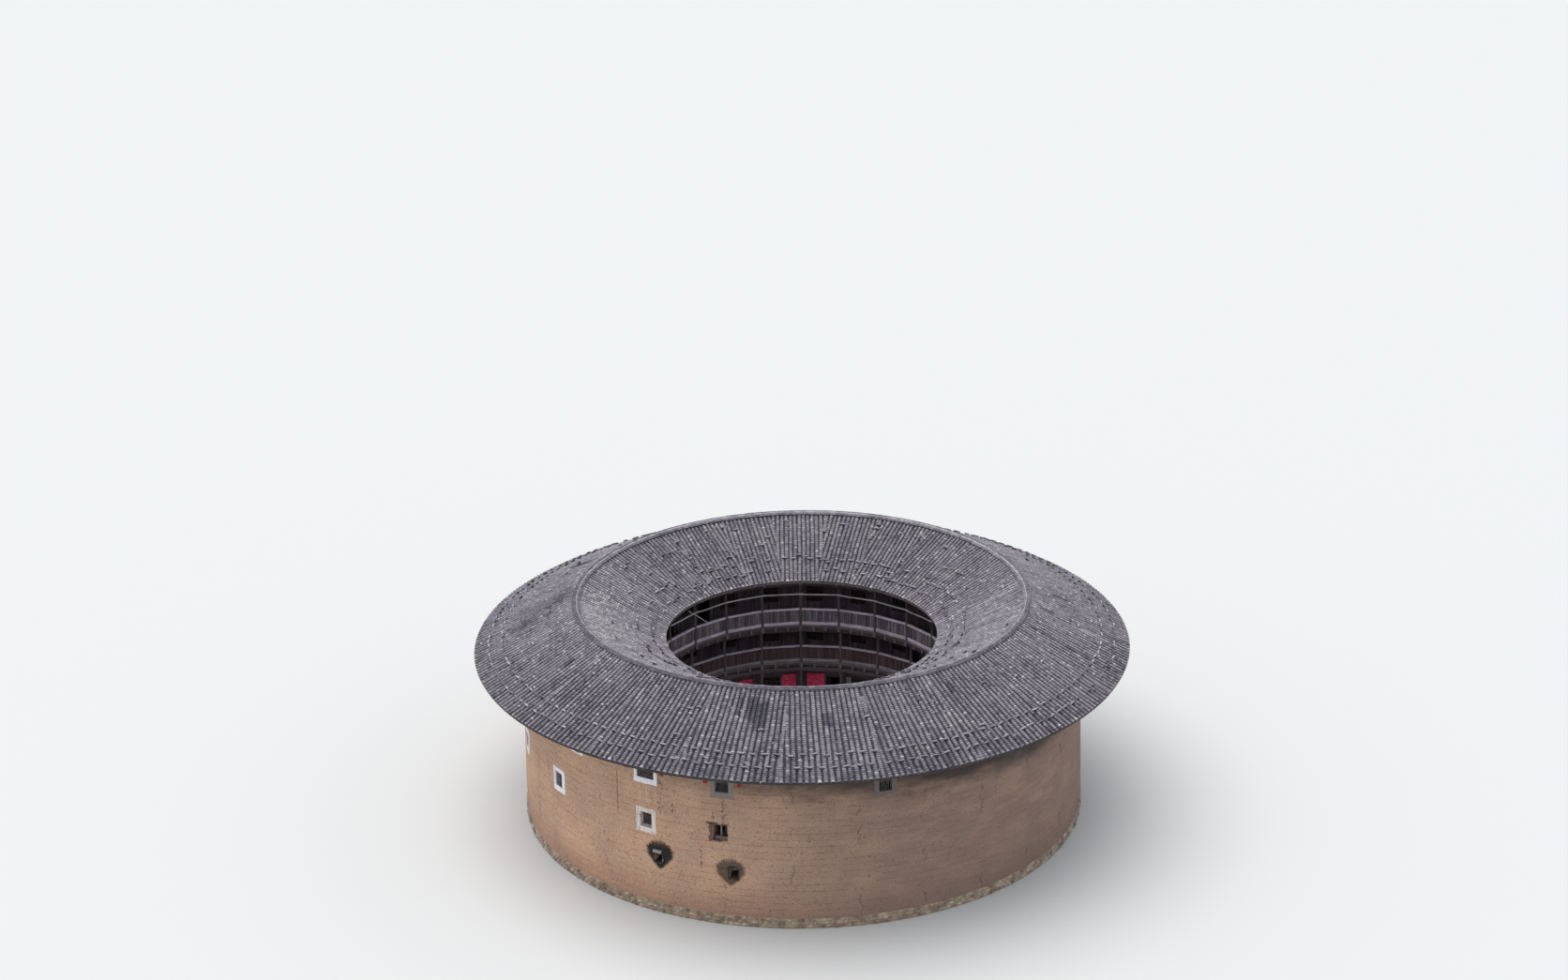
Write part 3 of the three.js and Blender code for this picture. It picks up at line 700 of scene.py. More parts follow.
def add_surrounds():
    for finish, (colour, worn) in PLASTERS.items():
        heap = Heap()
        for angle, sill, width, height, kind, _ in WINDOWS:
            if kind == finish:
                add_band(heap, angle, sill, width, height)
        paint = plaster_paint(f"{finish}_plaster", colour, worn)
        heap.build(f"window_surrounds_{finish}", paint, "rammed_earth")
    hoods, rims = Heap(), Heap()
    for (angle, sill, width, height), hood in zip(VENTS, (hoods, rims)):
        head = sill + height
        for heap, low, high, (left, right, proud) in (
                (hood, head, head + HOOD_TALL, HOOD), (rims, sill - RIM_TALL, sill, RIM_FOOT),
                (rims, sill, head, RIM_LEFT), (rims, sill, head, RIM_RIGHT)):
            add_mortar(heap, angle, wall_face(sill) + 0.015, low, high, left * width, right * width, proud)
    hoods.build("smoke_vent_hoods", plaster_paint("vent_mortar", VENT_MORTAR), "rammed_earth")
    rims.build("smoke_vent_rims", plaster_paint("sooty_mortar", SOOTY_MORTAR), "rammed_earth")


add_surrounds()

# Window joinery: small sawn frames set back in the earth, with upright bars, crossed laths or a shutter.
# Unpainted fir gone grey; each frame was wedged in its hole when the wall was cut.
FIR_GREY = ((66, 63, 66), (106, 102, 106))
SASH = 0.06
SASH_DEPTH = 0.08
BAR = 0.032
BAR_SPACE = 0.13
# In the bare window: place aside at foot and head, distance in front, width, thickness, tone
UPRIGHTS = ((0.28, 0.26, 0.0, 0.24, 0.05, -0.7), (-0.02, 0.0, 0.1, 0.1, 0.06, 1.6))
# and the board on its sill: left end, height at both ends, distance in front, width, thickness, tone
SILL_BOARD = (-0.32, 0.1, 0.08, 0.22, 0.18, 0.04, 1.6)
# Rails across the bars or laths: heights from the middle, then distance in front, width and thickness
RAILS = {"bars": (0.0,), "lattice": (-0.28, 0.0, 0.28)}
RAIL_IN_FRONT = -0.025
RAIL = (0.04, 0.022)
# How far behind the wall's face the frame stands, by the finish of the opening
SET_BACK = {"bare": 0.45, "worn": 0.29, "white": 0.08, "cement": 0.15}
UP = np.array([0, 0, 1.0])


def add_timbers(heap, starts, ends, widths, depths, sides, tone=0.5, bevel=0.0, end_tone=None, change=0.0):
    """Straight timbers from start to end, with their width along the side vector."""
    starts, ends, sides = np.broadcast_arrays(*(np.atleast_2d(part) for part in (starts, ends, sides)))
    number = len(starts)
    along = ends - starts
    length = np.linalg.norm(along, axis=1, keepdims=True)
    along = along / length
    sides = sides - np.sum(sides * along, 1, keepdims=True) * along
    sides = sides / np.linalg.norm(sides, axis=1, keepdims=True)
    ups = np.cross(along, sides)
    w, d = (np.broadcast_to(np.asarray(size, float) / 2, number)[:, None] for size in (widths, depths))
    if bevel:
        b = np.minimum(bevel, np.minimum(w, d) * 0.6)
        x = np.concatenate([b - w, w - b, w, w, w - b, b - w, -w, -w], 1)
        y = np.concatenate([-d, -d, b - d, d - b, d, d, d - b, b - d], 1)
    else:
        x, y = np.concatenate([-w, w, w, -w], 1), np.concatenate([-d, -d, d, d], 1)
    k = x.shape[1]
    section = x[..., None] * sides[:, None] + y[..., None] * ups[:, None]
    corners = np.concatenate([starts[:, None] + section, ends[:, None] + section], 1)
    faces = [(i, (i + 1) % k, k + (i + 1) % k, k + i) for i in range(k)]
    faces += [tuple(range(k))[::-1], tuple(range(k, 2 * k))]
    shift = chance.uniform(0, 60, (number, 1, 3))
    run = np.concatenate([0 * x, 0 * x + length], 1)
    grain = np.stack([run, np.concatenate([x, x], 1), np.concatenate([y, y], 1)], -1) + shift
    tones = np.broadcast_to(np.asarray(tone, float), number)[:, None] + change * np.ones(len(faces))
    if end_tone is not None:
        tones[:, -2:] = end_tone
    heap.add(corners, faces, tones, grain)


def wood_paint(name, shades, low=0.7, high=1.3, weather=(120, 112, 106), share=0.4):
    """Sawn or planed wood: grain along each timber, knots, weathered patches, paler cut ends."""
    dark, pale = shades
    paint = Paint(name, dark, 0.82)
    grain = paint.read("grain", "Vector")
    rings = paint.noise(grain, (1.1, 26, 26), 6, 0.6)
    fibres = paint.noise(grain, (6, 150, 150), 3, 0.6)
    paint.veil(pale, rings, 0.32, 0.68)
    paint.veil(weather, paint.noise(grain, (0.7, 3, 3), 3), 0.48, 0.7, share)
    paint.veil(darker(dark, 0.5), fibres, 0.5, 0.28, 0.4)
    paint.veil(darker(dark, 0.45), paint.noise(grain, (4.5, 14, 14), 1), 0.24, 0.18, 0.8)
    paint.toned(low, high)
    return paint.finish(paint.plus(rings, paint.times(fibres, 0.5)), 0.006)


def plain_tone():
    return chance.uniform(0.3, 0.8)


def add_shutter(shutters, heap, spot, side, w, h):
    """A shutter of three boards over the left half, and bars in the right half."""
    board = (w - SASH) / 3
    for number in range(3):
        a = -w + SASH + (number + 0.5) * board
        add_timbers(shutters, spot(a, -h, 0.02), spot(a, h, 0.02), board - 0.006, 0.024, side, plain_tone())
    for z in (-0.25, 0.25):
        add_timbers(shutters, spot(-w + SASH, z, 0.04), spot(0, z, 0.04), 0.06, 0.02, UP, 0.6)
    for a in np.linspace(0.08, w - SASH - 0.05, 3):
        add_timbers(heap, spot(a, -h), spot(a, h), BAR, BAR, side, plain_tone())


def add_window_joinery():
    heap, shutters = Heap(), Heap()
    for angle, sill, width, height, finish, kind in WINDOWS:
        out, side = turned(angle)
        centre = out * (wall_face(sill) - SET_BACK[finish]) + UP * (sill + height / 2)

        def spot(a, z, depth=0.0):
            return centre + side * a + UP * z + out * depth

        w, h = width / 2 + 0.005, height / 2 + 0.005
        clear = h - SASH
        if kind == "post":
            for foot, head, depth, wide, thick, tone in UPRIGHTS:
                add_timbers(heap, spot(foot, -h, depth), spot(head, h, depth), wide, thick, side, tone, 0.01)
            left, left_up, right_up, depth, wide, thick, tone = SILL_BOARD
            start, end = spot(left, left_up - h, depth), spot(w, right_up - h, depth)
            add_timbers(heap, start, end, wide, thick, UP, tone)
            continue
        for a in (SASH / 2 - w, w - SASH / 2):
            add_timbers(heap, spot(a, -h), spot(a, h), SASH, SASH_DEPTH, side, 0.55, 0.006)
        for z in (SASH / 2 - h, h - SASH / 2):
            add_timbers(heap, spot(-w, z), spot(w, z), SASH, SASH_DEPTH, UP, 0.5, 0.006)
        if kind == "shutter":
            add_shutter(shutters, heap, spot, side, w, clear)
            continue
        for a in np.linspace(-w + SASH, w - SASH, max(3, int(width / BAR_SPACE)) + 2)[1:-1]:
            a = a + chance.uniform(-0.006, 0.006)
            add_timbers(heap, spot(a, -clear), spot(a, clear), BAR, BAR, side, plain_tone())
        for z in RAILS[kind]:
            left, right = (spot(a, z, RAIL_IN_FRONT) for a in (-w + SASH, w - SASH))
            add_timbers(heap, left, right, *RAIL, UP, 0.45)
    paint = wood_paint("window_fir", FIR_GREY)
    heap.build("window_frames", paint, "frame_timber")
    shutters.build("window_shutters", paint, "board_timber")


add_window_joinery()

# Gateway: a frame of dressed granite blocks round a passage through the wall, on a granite sill.
# Two leaves of thick planks, ledged, studded and hung on pivots, stand folded back inside.
GATE_FACE = 16.25
GATE_DEPTH = 0.5
GATE_HALF = 0.85
GATE_HEIGHT = 2.6
GATE_STONE = 0.3
GATE_SILL = 0.12
# Joints of the frame's sides above its foot, joints of the lintel and of the sill from the middle
SIDE_JOINTS = (0, 0.62, 1.34, 1.98, GATE_HEIGHT)
LINTEL_JOINTS = (0.002 - GATE_HALF - GATE_STONE, -0.62, 0.55, GATE_HALF + GATE_STONE - 0.002)
SILL_STONES = ((-GATE_HALF + 0.003, -0.05), (-0.044, GATE_HALF - 0.003))
LEDGES = (0.35, 1.3, 2.25)
LEDGE = (0.14, 0.035)
PLANK = 0.06
STUD = 0.04
GROUND_FLOOR = 0.9
GRANITE = ((140, 134, 126), (172, 166, 158))
GATE_FIR = ((66, 48, 36), (96, 72, 54))


def add_block(heap, low, high, side, out, tone, bevel=0.015, rough=0.004):
    """A dressed block between two corners given as (sideways, outward, height), with worn edges."""
    low, high = np.array(low, float), np.array(high, float)
    centre, half = (low + high) / 2, (high - low) / 2
    lines = [np.array([-1, -1 + bevel / h, 1 - bevel / h, 1]) * h for h in half]
    rim = np.ones((4, 4), bool)
    rim[1:-1, 1:-1] = False
    corners, faces = [], []
    for axis in range(3):
        for sign in (-1, 1):
            a, b = (axis + 1) % 3, (axis + 2) % 3
            patch = np.zeros((4, 4, 3))
            patch[..., a], patch[..., b] = np.meshgrid(lines[a], lines[b], indexing="ij")
            patch[..., axis] = sign * half[axis]
            patch[..., axis][rim] -= sign * bevel * 0.5
            for other in (a, b):
                edge = half[other] - bevel * 0.5
                patch[..., other] = np.clip(patch[..., other], -edge, edge)
            patch[1:-1, 1:-1] += chance.uniform(-rough, rough, (2, 2, 3))
            grid = grid_faces(4, 4) + 16 * len(corners)
            faces.extend(grid[:, ::-1] if sign > 0 else grid)
            corners.append(patch.reshape(-1, 3))
    local = np.concatenate(corners) + centre
    heap.add(local[:, :1] * side + local[:, 1:2] * out + local[:, 2:] * UP, faces, tone)


def add_gate_frame(out, side):
    stones = Heap()
    back, foot = GATE_FACE - GATE_DEPTH, GROUND_FLOOR + 0.003
    head = foot + GATE_HEIGHT
    for sign in (-1, 1):
        a, b = sorted((sign * (GATE_HALF + 0.002), sign * (GATE_HALF + GATE_STONE - 0.002)))
        for low, high in zip(SIDE_JOINTS, SIDE_JOINTS[1:]):
            face = GATE_FACE + chance.uniform(-0.006, 0.006)
            add_block(stones, (a, back, foot + low + 0.003), (b, face, foot + high - 0.003), side, out,
                      chance.uniform(0.2, 0.8))
    for a, b in zip(LINTEL_JOINTS, LINTEL_JOINTS[1:]):
        add_block(stones, (a + 0.003, back, head + 0.002), (b - 0.003, GATE_FACE, head + GATE_STONE - 0.006),
                  side, out, chance.uniform(0.2, 0.8))
    for a, b in SILL_STONES:
        add_block(stones, (a, back, foot), (b, GATE_FACE + 0.01, foot + GATE_SILL), side, out, 0.6)
    paint = stone_paint("dressed_granite", GRANITE, 0.86, 1.12)
    stones.build("gate_stones", paint, "dressed_stone", ["gate_frame"])


def add_gate_leaf(name, sign, out, side, paint):
    """Five planks, three ledges across them and six studs through each ledge."""
    leaf = Heap()
    foot = GROUND_FLOOR + 0.003
    aside = sign * (GATE_HALF + GATE_STONE - 0.045)
    end = GATE_FACE - GATE_DEPTH - 0.003
    reach = np.linspace(end - GATE_HALF, end, 6)
    for a, b in zip(reach, reach[1:]):
        low = out * (a + b) / 2 + side * aside + UP * foot
        high = low + UP * (GATE_HEIGHT - 0.01)
        add_timbers(leaf, low, high, b - a - 0.004, PLANK, out, plain_tone(), 0.006)
    for level in LEDGES:
        line = side * (aside - sign * 0.04) + UP * (foot + level)
        add_timbers(leaf, line + out * reach[0], line + out * reach[-1], *LEDGE, UP, 0.45, 0.008)
        for spot in np.linspace(reach[0] + 0.08, reach[-1] - 0.08, 6):
            head = side * (aside - sign * 0.06) + UP * (foot + level) + out * spot
            add_timbers(leaf, head, head - side * sign * 0.016, STUD, STUD, UP, 0.1, 0.012)
    leaf.build(f"gate_leaf_planks_{name}", paint, "door_timber", [f"gate_leaf_{name}"])


def add_gateway():
    out, side = turned(GATE_ANGLE)
    add_gate_frame(out, side)
    paint = wood_paint("gate_plank", GATE_FIR, 0.75, 1.25, (88, 76, 68))
    for name, sign in (("right", 1), ("left", -1)):
        add_gate_leaf(name, sign, out, side, paint)


add_gateway()

# Ground floor: packed earth paved with worn flagstones, behind a kerb of long dressed stones.
# Three courses of boulders under the kerb hold it up round the courtyard.
KERB = 8.45
KERB_HEIGHT = 0.17
KERB_DEPTH = 0.5
FLAG_DEPTH = 0.55
FLAG_WIDTH = (0.6, 0.85)
FLAG_GAP = 0.006
FLAG_ROUND = 0.012
RISER_STONE = 0.34
BENTS = np.arange(24) * 15.0
BAYS = BENTS + 7.5
HALF_BAY = math.radians(7.5)
PACKED_EARTH = ((120, 100, 84), (150, 128, 108))
FLAGSTONE = ((112, 106, 98), (160, 152, 142))
KERB_STONE = ((128, 124, 116), (168, 162, 152))


def add_floor_fill(outer):
    core = Heap()
    inner, top = KERB + 0.12, GROUND_FLOOR - 0.03
    add_ring(core, [(inner, 0.0), (outer, 0.0), (outer, top), (inner, top)], 120)
    core.build("floor_fill", stone_paint("packed_earth", PACKED_EARTH), "paving_stone", ["ground_floor"])


def add_flagstones(outer):
    """Rings of flagstones of uneven depth and width, with rounded edges."""
    flags = Heap()
    faces = [(b + i, b + 4 + i, b + 4 + (i + 1) % 4, b + (i + 1) % 4) for b in (0, 4) for i in range(4)]
    radius = KERB + 0.45
    while radius < outer - 0.1:
        reach = min(FLAG_DEPTH * chance.uniform(0.85, 1.15), outer - 0.02 - radius)
        number = int(2 * math.pi * radius / chance.uniform(*FLAG_WIDTH))
        edges, gaps = uneven_parts(number, 0.2)
        gap = np.degrees(0.008 / radius)
        first, last = edges + gap, edges + gaps - gap
        top = GROUND_FLOOR - 0.002 + chance.uniform(-0.012, 0.0, number)
        corners = []
        for level, inset in ((GROUND_FLOOR - 0.06, 0.0), (top - 0.008, 0.0), (top, FLAG_ROUND)):
            near, far = radius + FLAG_GAP + inset, radius + reach - FLAG_GAP - inset
            corners += [place(near, first, level), place(near, last, level), place(far, last, level),
                        place(far, first, level)]
        flags.add(np.stack(corners, 1), [*faces, (11, 10, 9, 8)], chance.uniform(0, 1, number))
        radius += reach
    flags.build("flagstones", stone_paint("flagstone", FLAGSTONE, 0.8, 1.2), "paving_stone")


def add_kerb():
    kerb = Heap()
    face, half = KERB * math.cos(HALF_BAY), KERB * math.sin(HALF_BAY)
    for angle in BAYS:
        out, side = turned(angle)
        cuts = [-half, chance.uniform(-0.3, 0.3), half]
        for a, b in zip(cuts, cuts[1:]):
            add_block(kerb, (a + 0.004, face, GROUND_FLOOR - KERB_HEIGHT), (b - 0.004, face + KERB_DEPTH,
                      GROUND_FLOOR - 0.002), side, out, chance.uniform(0.2, 0.9), 0.02, 0.006)
    kerb.build("courtyard_kerb", stone_paint("kerb_stone", KERB_STONE, 0.85, 1.15), "paving_stone")


def add_riser():
    riser = Heap()
    levels = np.linspace(0.01, GROUND_FLOOR - KERB_HEIGHT, 4)
    number = int(2 * math.pi * KERB / RISER_STONE)
    for low, high in zip(levels, levels[1:]):
        edges, gaps = uneven_parts(number, 0.2)
        stone_face(riser, edges + gaps / 2, np.full(number, (low + high) / 2), np.radians(gaps) * KERB * 0.97,
                   np.full(number, (high - low) * 0.98), KERB + 0.11, -chance.uniform(0.05, 0.09, number))
    riser.build("kerb_riser_stones", stone_paint("riser_rubble", RUBBLE), "paving_stone", smooth=True)


add_floor_fill(WALL_INSIDE - 0.02)
add_flagstones(WALL_INSIDE - 0.02)
add_kerb()
add_riser()

# Upper floors: fir boards laid from joist to joist, on stout joists at every bent and thinner ones between.
# The joist ends show pale under the rim beam that runs along the gallery's edge.
# Floors: top, radius of the gallery's edge, radius at the wall
FLOORS = {"second": (4.4, 9.22, 14.93), "third": (7.0, 8.87, 15.08)}
DECK = 0.05
FLOOR_BOARD = 0.186
FLOOR_PITCH = 0.19
# Joists: place in the bay, width and height
JOISTS = ((0.0, 0.18, 0.298), (0.34, 0.12, 0.27), (0.66, 0.12, 0.27))
RIM_BEAM = (0.095, 0.148)
FLOOR_BROWN = ((84, 74, 74), (120, 108, 108))
JOIST_DARK = ((62, 54, 59), (96, 86, 92))


def add_floor_boards(name, top, edge, wall, paint):
    boards = Heap()
    out, side = turned(BAYS)
    reach = edge * math.cos(HALF_BAY) + 0.09
    while reach < wall * math.cos(HALF_BAY):
        half = (reach - 0.09) * math.tan(HALF_BAY)
        middle = out * reach + UP * (top - DECK / 2 + chance.uniform(-0.004, 0.002))
        add_timbers(boards, middle - side * half, middle + side * half, FLOOR_BOARD, DECK - 0.008, out,
                    chance.uniform(0.1, 0.9, 24))
        reach += FLOOR_PITCH
    boards.build(f"{name}_floor_boards", paint, "floor_timber", [f"{name}_floor"])


def add_joists(name, top, edge, wall, paint):
    joists = Heap()
    under = top - DECK - 0.002
    for share, wide, deep in JOISTS:
        out, side = turned(BENTS + share * 15)
        near = edge * math.cos(HALF_BAY) / math.cos(math.radians(share * 15 - 7.5))
        near = near + chance.uniform(-0.05, 0.01, 24)
        drop = UP * (under - deep / 2)
        add_timbers(joists, out * near[:, None] + drop, out * (wall - 0.01) + drop, wide, deep, side,
                    chance.uniform(0.0, 0.4, 24), 0.02, 1.5)
    a, b = (place(edge + 0.08, turn, under - 0.075) for turn in (BENTS, BENTS + 15.0))
    add_timbers(joists, a, b, *RIM_BEAM, turned(BAYS)[0], chance.uniform(0.2, 0.6, 24), 0.008, 1.0)
    joists.build(f"{name}_floor_joist_timbers", paint, "frame_timber", [f"{name}_floor_joists"])


def add_floors():
    boards, joists = wood_paint("floor_board", FLOOR_BROWN), wood_paint("joist_fir", JOIST_DARK)
    for name, sizes in FLOORS.items():
        add_floor_boards(name, *sizes, boards)
        add_joists(name, *sizes, joists)


add_floors()

# Galleries: rough fir posts at every bent with a beam on their heads, and upright boards between rails.
# The third storey's boards face the weather and have gone grey; lower down smoke keeps them reddish brown.
# Storeys: floor, radius of the posts, top of the beam on them
STOREYS = {"ground": (0.9, 9.35, 4.05), "second": (4.4, 9.35, 6.65), "third": (7.0, 9.0, 9.82)}
# Quarters: angles of their six bents
QUARTERS = {"back": BENTS[9:15], "left": BENTS[15:21], "front": BENTS[[21, 22, 23, 0, 1, 2]],
            "right": BENTS[3:9]}
PARAPET = 1.0
BOARD_PITCH = 0.13
POST_RADIUS = 0.1
HEAD_BEAM = (0.145, 0.236)
TOP_RAIL = (0.15, 0.1)
LOW_RAIL = (0.085, 0.2)
# Tones of the top and the low rail
RAIL_TONES = {"second": (1.6, 0.9), "third": (3.0, 2.7)}
# The purple-blue cast of the gallery fir and of the weathered boards is painted shade light: bluish light of
# the sky in the shaded galleries.
GALLERY_FIR = ((66, 52, 56), (98, 84, 88))
SMOKED = ((62, 42, 46), (92, 66, 68))
WEATHERED_AND_BLUE_SHADE = ((88, 80, 88), (146, 136, 148))


def add_logs(heap, starts, ends, radius, tone=0.5, end_tone=1.2, sides=10, rings=5, wander=0.012):
    """Round timbers that keep a little of the tree's bend and taper."""
    starts, ends = np.atleast_2d(starts), np.atleast_2d(ends)
    number = len(starts)
    along = ends - starts
    length = np.linalg.norm(along, axis=1, keepdims=True)
    along = along / length
    first = np.cross(along, np.where(abs(along[:, 2:]) > 0.9, [[1.0, 0, 0]], [[0, 0, 1.0]]))
    first /= np.linalg.norm(first, axis=1, keepdims=True)
    second = np.cross(along, first)
    turn = np.arange(sides) / sides * 2 * math.pi
    share = np.linspace(0, 1, rings)
    size = chance.uniform(-0.07, 0.07, (number, rings, 1)) - 0.12 * (share[None, :, None] - 0.5)
    size = radius * (1 + size)
    x = size * np.cos(turn) * (1 + chance.uniform(-0.04, 0.04, (number, 1, sides)))
    y = size * np.sin(turn)
    bend = chance.uniform(-wander, wander, (number, rings, 2))
    bend[:, [0, -1]] *= 0.3
    x, y = x + bend[..., :1], y + bend[..., 1:]
    centre = starts[:, None] + (ends - starts)[:, None] * share[None, :, None]
    corners = centre[:, :, None] + x[..., None] * first[:, None, None] + y[..., None] * second[:, None, None]
    pairs = [(r * sides + i, r * sides + (i + 1) % sides) for r in range(rings - 1) for i in range(sides)]
    faces = [(a, b, b + sides, a + sides) for a, b in pairs]
    faces += [tuple(range(sides))[::-1], tuple(range((rings - 1) * sides, rings * sides))]
    run = np.broadcast_to((share[None, :, None] * length[:, None]), x.shape)
    arc = np.broadcast_to(turn * radius, x.shape)
    grain = np.stack([run, arc, 0 * arc], -1) + chance.uniform(0, 60, (number, 1, 1, 3))
    tones = np.broadcast_to(np.asarray(tone, float), number)[:, None] * np.ones(len(faces))
    tones[:, -2:] = end_tone
    heap.add(corners.reshape(number, -1, 3), faces, tones, grain.reshape(number, -1, 3))


def half_bays(bents):
    """The half bays beside each bent: the middle angle of the bay, and -1 or 1 for its left or right half."""
    return [(bent - 7.5, 1) for bent in bents] + [(bent + 7.5, -1) for bent in bents]


def add_gallery_frame(storey, quarter, bents, paint):
    """Posts and the beam on them; gives back the rails, which the parapet's boards are nailed to."""
    floor, radius, top = STOREYS[storey]
    timbers, rails = Heap(), Heap()
    posts = place(radius, bents, 0.0)
    add_logs(timbers, posts + UP * (floor + 0.001), posts + UP * (top - 0.002), POST_RADIUS,
             chance.uniform(0.2, 0.7, len(bents)))
    for bay, half in half_bays(bents):
        out, side = turned(bay)
        a, b = (side * x for x in sorted((0.0, half * radius * math.sin(HALF_BAY))))

        def rail(heap, level, section, tone, inset=0.0):
            line = out * (radius * math.cos(HALF_BAY) + inset) + UP * level
            add_timbers(heap, line + a, line + b, *section, out, tone, 0.01)

        rail(timbers, top - 0.122, HEAD_BEAM, chance.uniform(0.3, 0.6))
        if storey in RAIL_TONES:
            rail(rails, floor + PARAPET + 0.04, TOP_RAIL, RAIL_TONES[storey][0])
            rail(rails, floor + 0.11, LOW_RAIL, RAIL_TONES[storey][1], -0.005)
    timbers.build(f"{storey}_gallery_frame_{quarter}", paint, "frame_timber", [f"{storey}_gallery_{quarter}"])
    return rails


def add_parapet(storey, quarter, bents, rails, board_paint, rail_paint):
    floor, radius, _ = STOREYS[storey]
    boards = Heap()
    half = radius * math.sin(HALF_BAY) - POST_RADIUS + 0.01
    number = int(round(half / BOARD_PITCH))
    pitch = half / number
    for bay, sign in half_bays(bents):
        out, side = turned(bay)
        centres = (np.arange(number) + 0.5) * pitch * sign + chance.uniform(-0.004, 0.004, number)
        foot = out * (radius * math.cos(HALF_BAY) + 0.012) + UP * (floor + 0.03)
        starts = foot + side * centres[:, None] + out * chance.uniform(-0.006, 0.006, (number, 1))
        ends = starts + UP * (PARAPET - 0.04) + side * chance.uniform(-0.005, 0.005, (number, 1))
        add_timbers(boards, starts, ends, pitch - chance.uniform(0.014, 0.04, number), 0.024, side,
                    chance.uniform(0.05, 0.95, number))
    boards.build(f"{storey}_parapet_boards_{quarter}", board_paint, "frame_timber")
    rails.build(f"{storey}_parapet_rails_{quarter}", rail_paint, "frame_timber")


def add_galleries():
    post = wood_paint("gallery_fir", GALLERY_FIR, 0.7, 1.3, (112, 102, 110))
    smoked = wood_paint("smoked_board", SMOKED, 0.55, 1.4, (84, 72, 78), 0.25)
    grey = wood_paint("weathered_board", WEATHERED_AND_BLUE_SHADE, 0.35, 1.35, (116, 90, 80), 0.4)
    for storey in STOREYS:
        for quarter, bents in QUARTERS.items():
            rails = add_gallery_frame(storey, quarter, bents, post)
            if storey in RAIL_TONES:
                add_parapet(storey, quarter, bents, rails, grey if storey == "third" else smoked, grey)


add_galleries()

# Room fronts: upright fir boards between posts, with a sill, a head rail, and a doorway and window to a bay.
# Smoke has browned them; some plank doors stand open inwards, and a few bare papers are pasted low down.
FRONT = 10.55
FRONT_LINE = FRONT * math.cos(HALF_BAY)
FRONT_EDGE = FRONT * math.sin(HALF_BAY) - 0.08
FRONT_BOARD = 0.17
FRONT_POST = (0.17, 0.16)
# Doorway: left and right edges and top above the floor; window: left and right edges, foot and top
DOOR = (-1.025, -0.175, 2.0)
DOOR_WIDTH = 0.85
WINDOW = (0.005, 0.955, 0.95, 2.0)
PASSAGE_TOP = 2.9
SHUT_DOORS = (187.5, 202.5)
DOOR_LEDGES = (0.3, 1.0, 1.7)
# The room fronts and doors are lighter and bluer than smoked fir: painted bluish sky light in the shaded
# rooms.
FRONT_SMOKE_AND_SKY_LIGHT = ((74, 64, 76), (112, 98, 110))
RAIL_SMOKE = ((68, 54, 54), (104, 88, 86))
DOOR_SMOKE_AND_SKY_LIGHT = ((70, 58, 68), (106, 88, 98))
# Papers: bay, left and right edges, top, length, distance in front of the boards, tone (2 blue-grey, 3 ochre)
PAPERS = [(187.5, -1.05, -0.15, 3.08, 1.2, 0.062, 0.5), (172.5, -0.07, 1.02, 3.12, 1.2, 0.062, 0.7),
          (202.5, -1.05, -0.15, 2.98, 0.74, 0.062, 0.4), (157.5, 0.99, 1.34, 2.95, 0.5, 0.062, 2.0),
          (157.5, -0.16, 0.02, 2.85, 0.45, 0.062, 3.0)]
# Crumpled scraps of red paper stuck high on the earth wall: angle and height
SCRAPS = [(-36.8, 8.38), (-28.4, 8.44), (-19.3, 8.48), (-12.5, 8.46)]
SCRAP_TONE = 4.0


def add_boards(heap, line, out, side, left, right, low, high):
    """Upright boards side by side between two edges and two heights."""
    number = max(1, int(round((right - left) / FRONT_BOARD)))
    pitch = (right - left) / number
    centres = left + (np.arange(number) + 0.5) * pitch
    start = line + side * centres[:, None] + out * chance.uniform(-0.004, 0.004, (number, 1))
    add_timbers(heap, start + UP * low, start + UP * high, pitch - 0.006, 0.026, side,
                chance.uniform(0.1, 0.9, number))


def add_window_bars(rails, line, side, left, right, low, high):
    for a in np.linspace(left, right, 10)[1:-1]:
        at = line + side * (a + chance.uniform(-0.004, 0.004))
        add_timbers(rails, at + UP * low, at + UP * high, 0.03, 0.03, side, plain_tone())
    for share in (0.3, 0.75):
        at = line + UP * (low + share * (high - low))
        add_timbers(rails, at + side * left, at + side * right, 0.035, 0.022, UP, 0.5)


def add_door(doors, line, out, side, floor, shut):
    """Five planks on three ledges, drawn shut or swung into the room."""
    swing = math.radians(0 if shut else chance.uniform(72, 88))
    along = side * -math.cos(swing) + out * math.sin(swing)
    hinge = line + side * (DOOR[1] - 0.01) + out * (-0.02 if shut else 0.04)
    spots = np.linspace(0.02, DOOR_WIDTH - 0.02, 6)
    start = hinge + along * (spots[1:] + spots[:-1])[:, None] / 2
    add_timbers(doors, start + UP * (floor + 0.02), start + UP * (floor + DOOR[2] - 0.02),
                spots[1] - spots[0] - 0.004, 0.032, along, chance.uniform(0.2, 0.8, 5))
    for level in DOOR_LEDGES:
        at = hinge - np.cross(along, UP) * 0.03 + UP * (floor + level)
        add_timbers(doors, at + along * 0.03, at + along * (DOOR_WIDTH - 0.04), 0.09, 0.025, UP, 0.4)


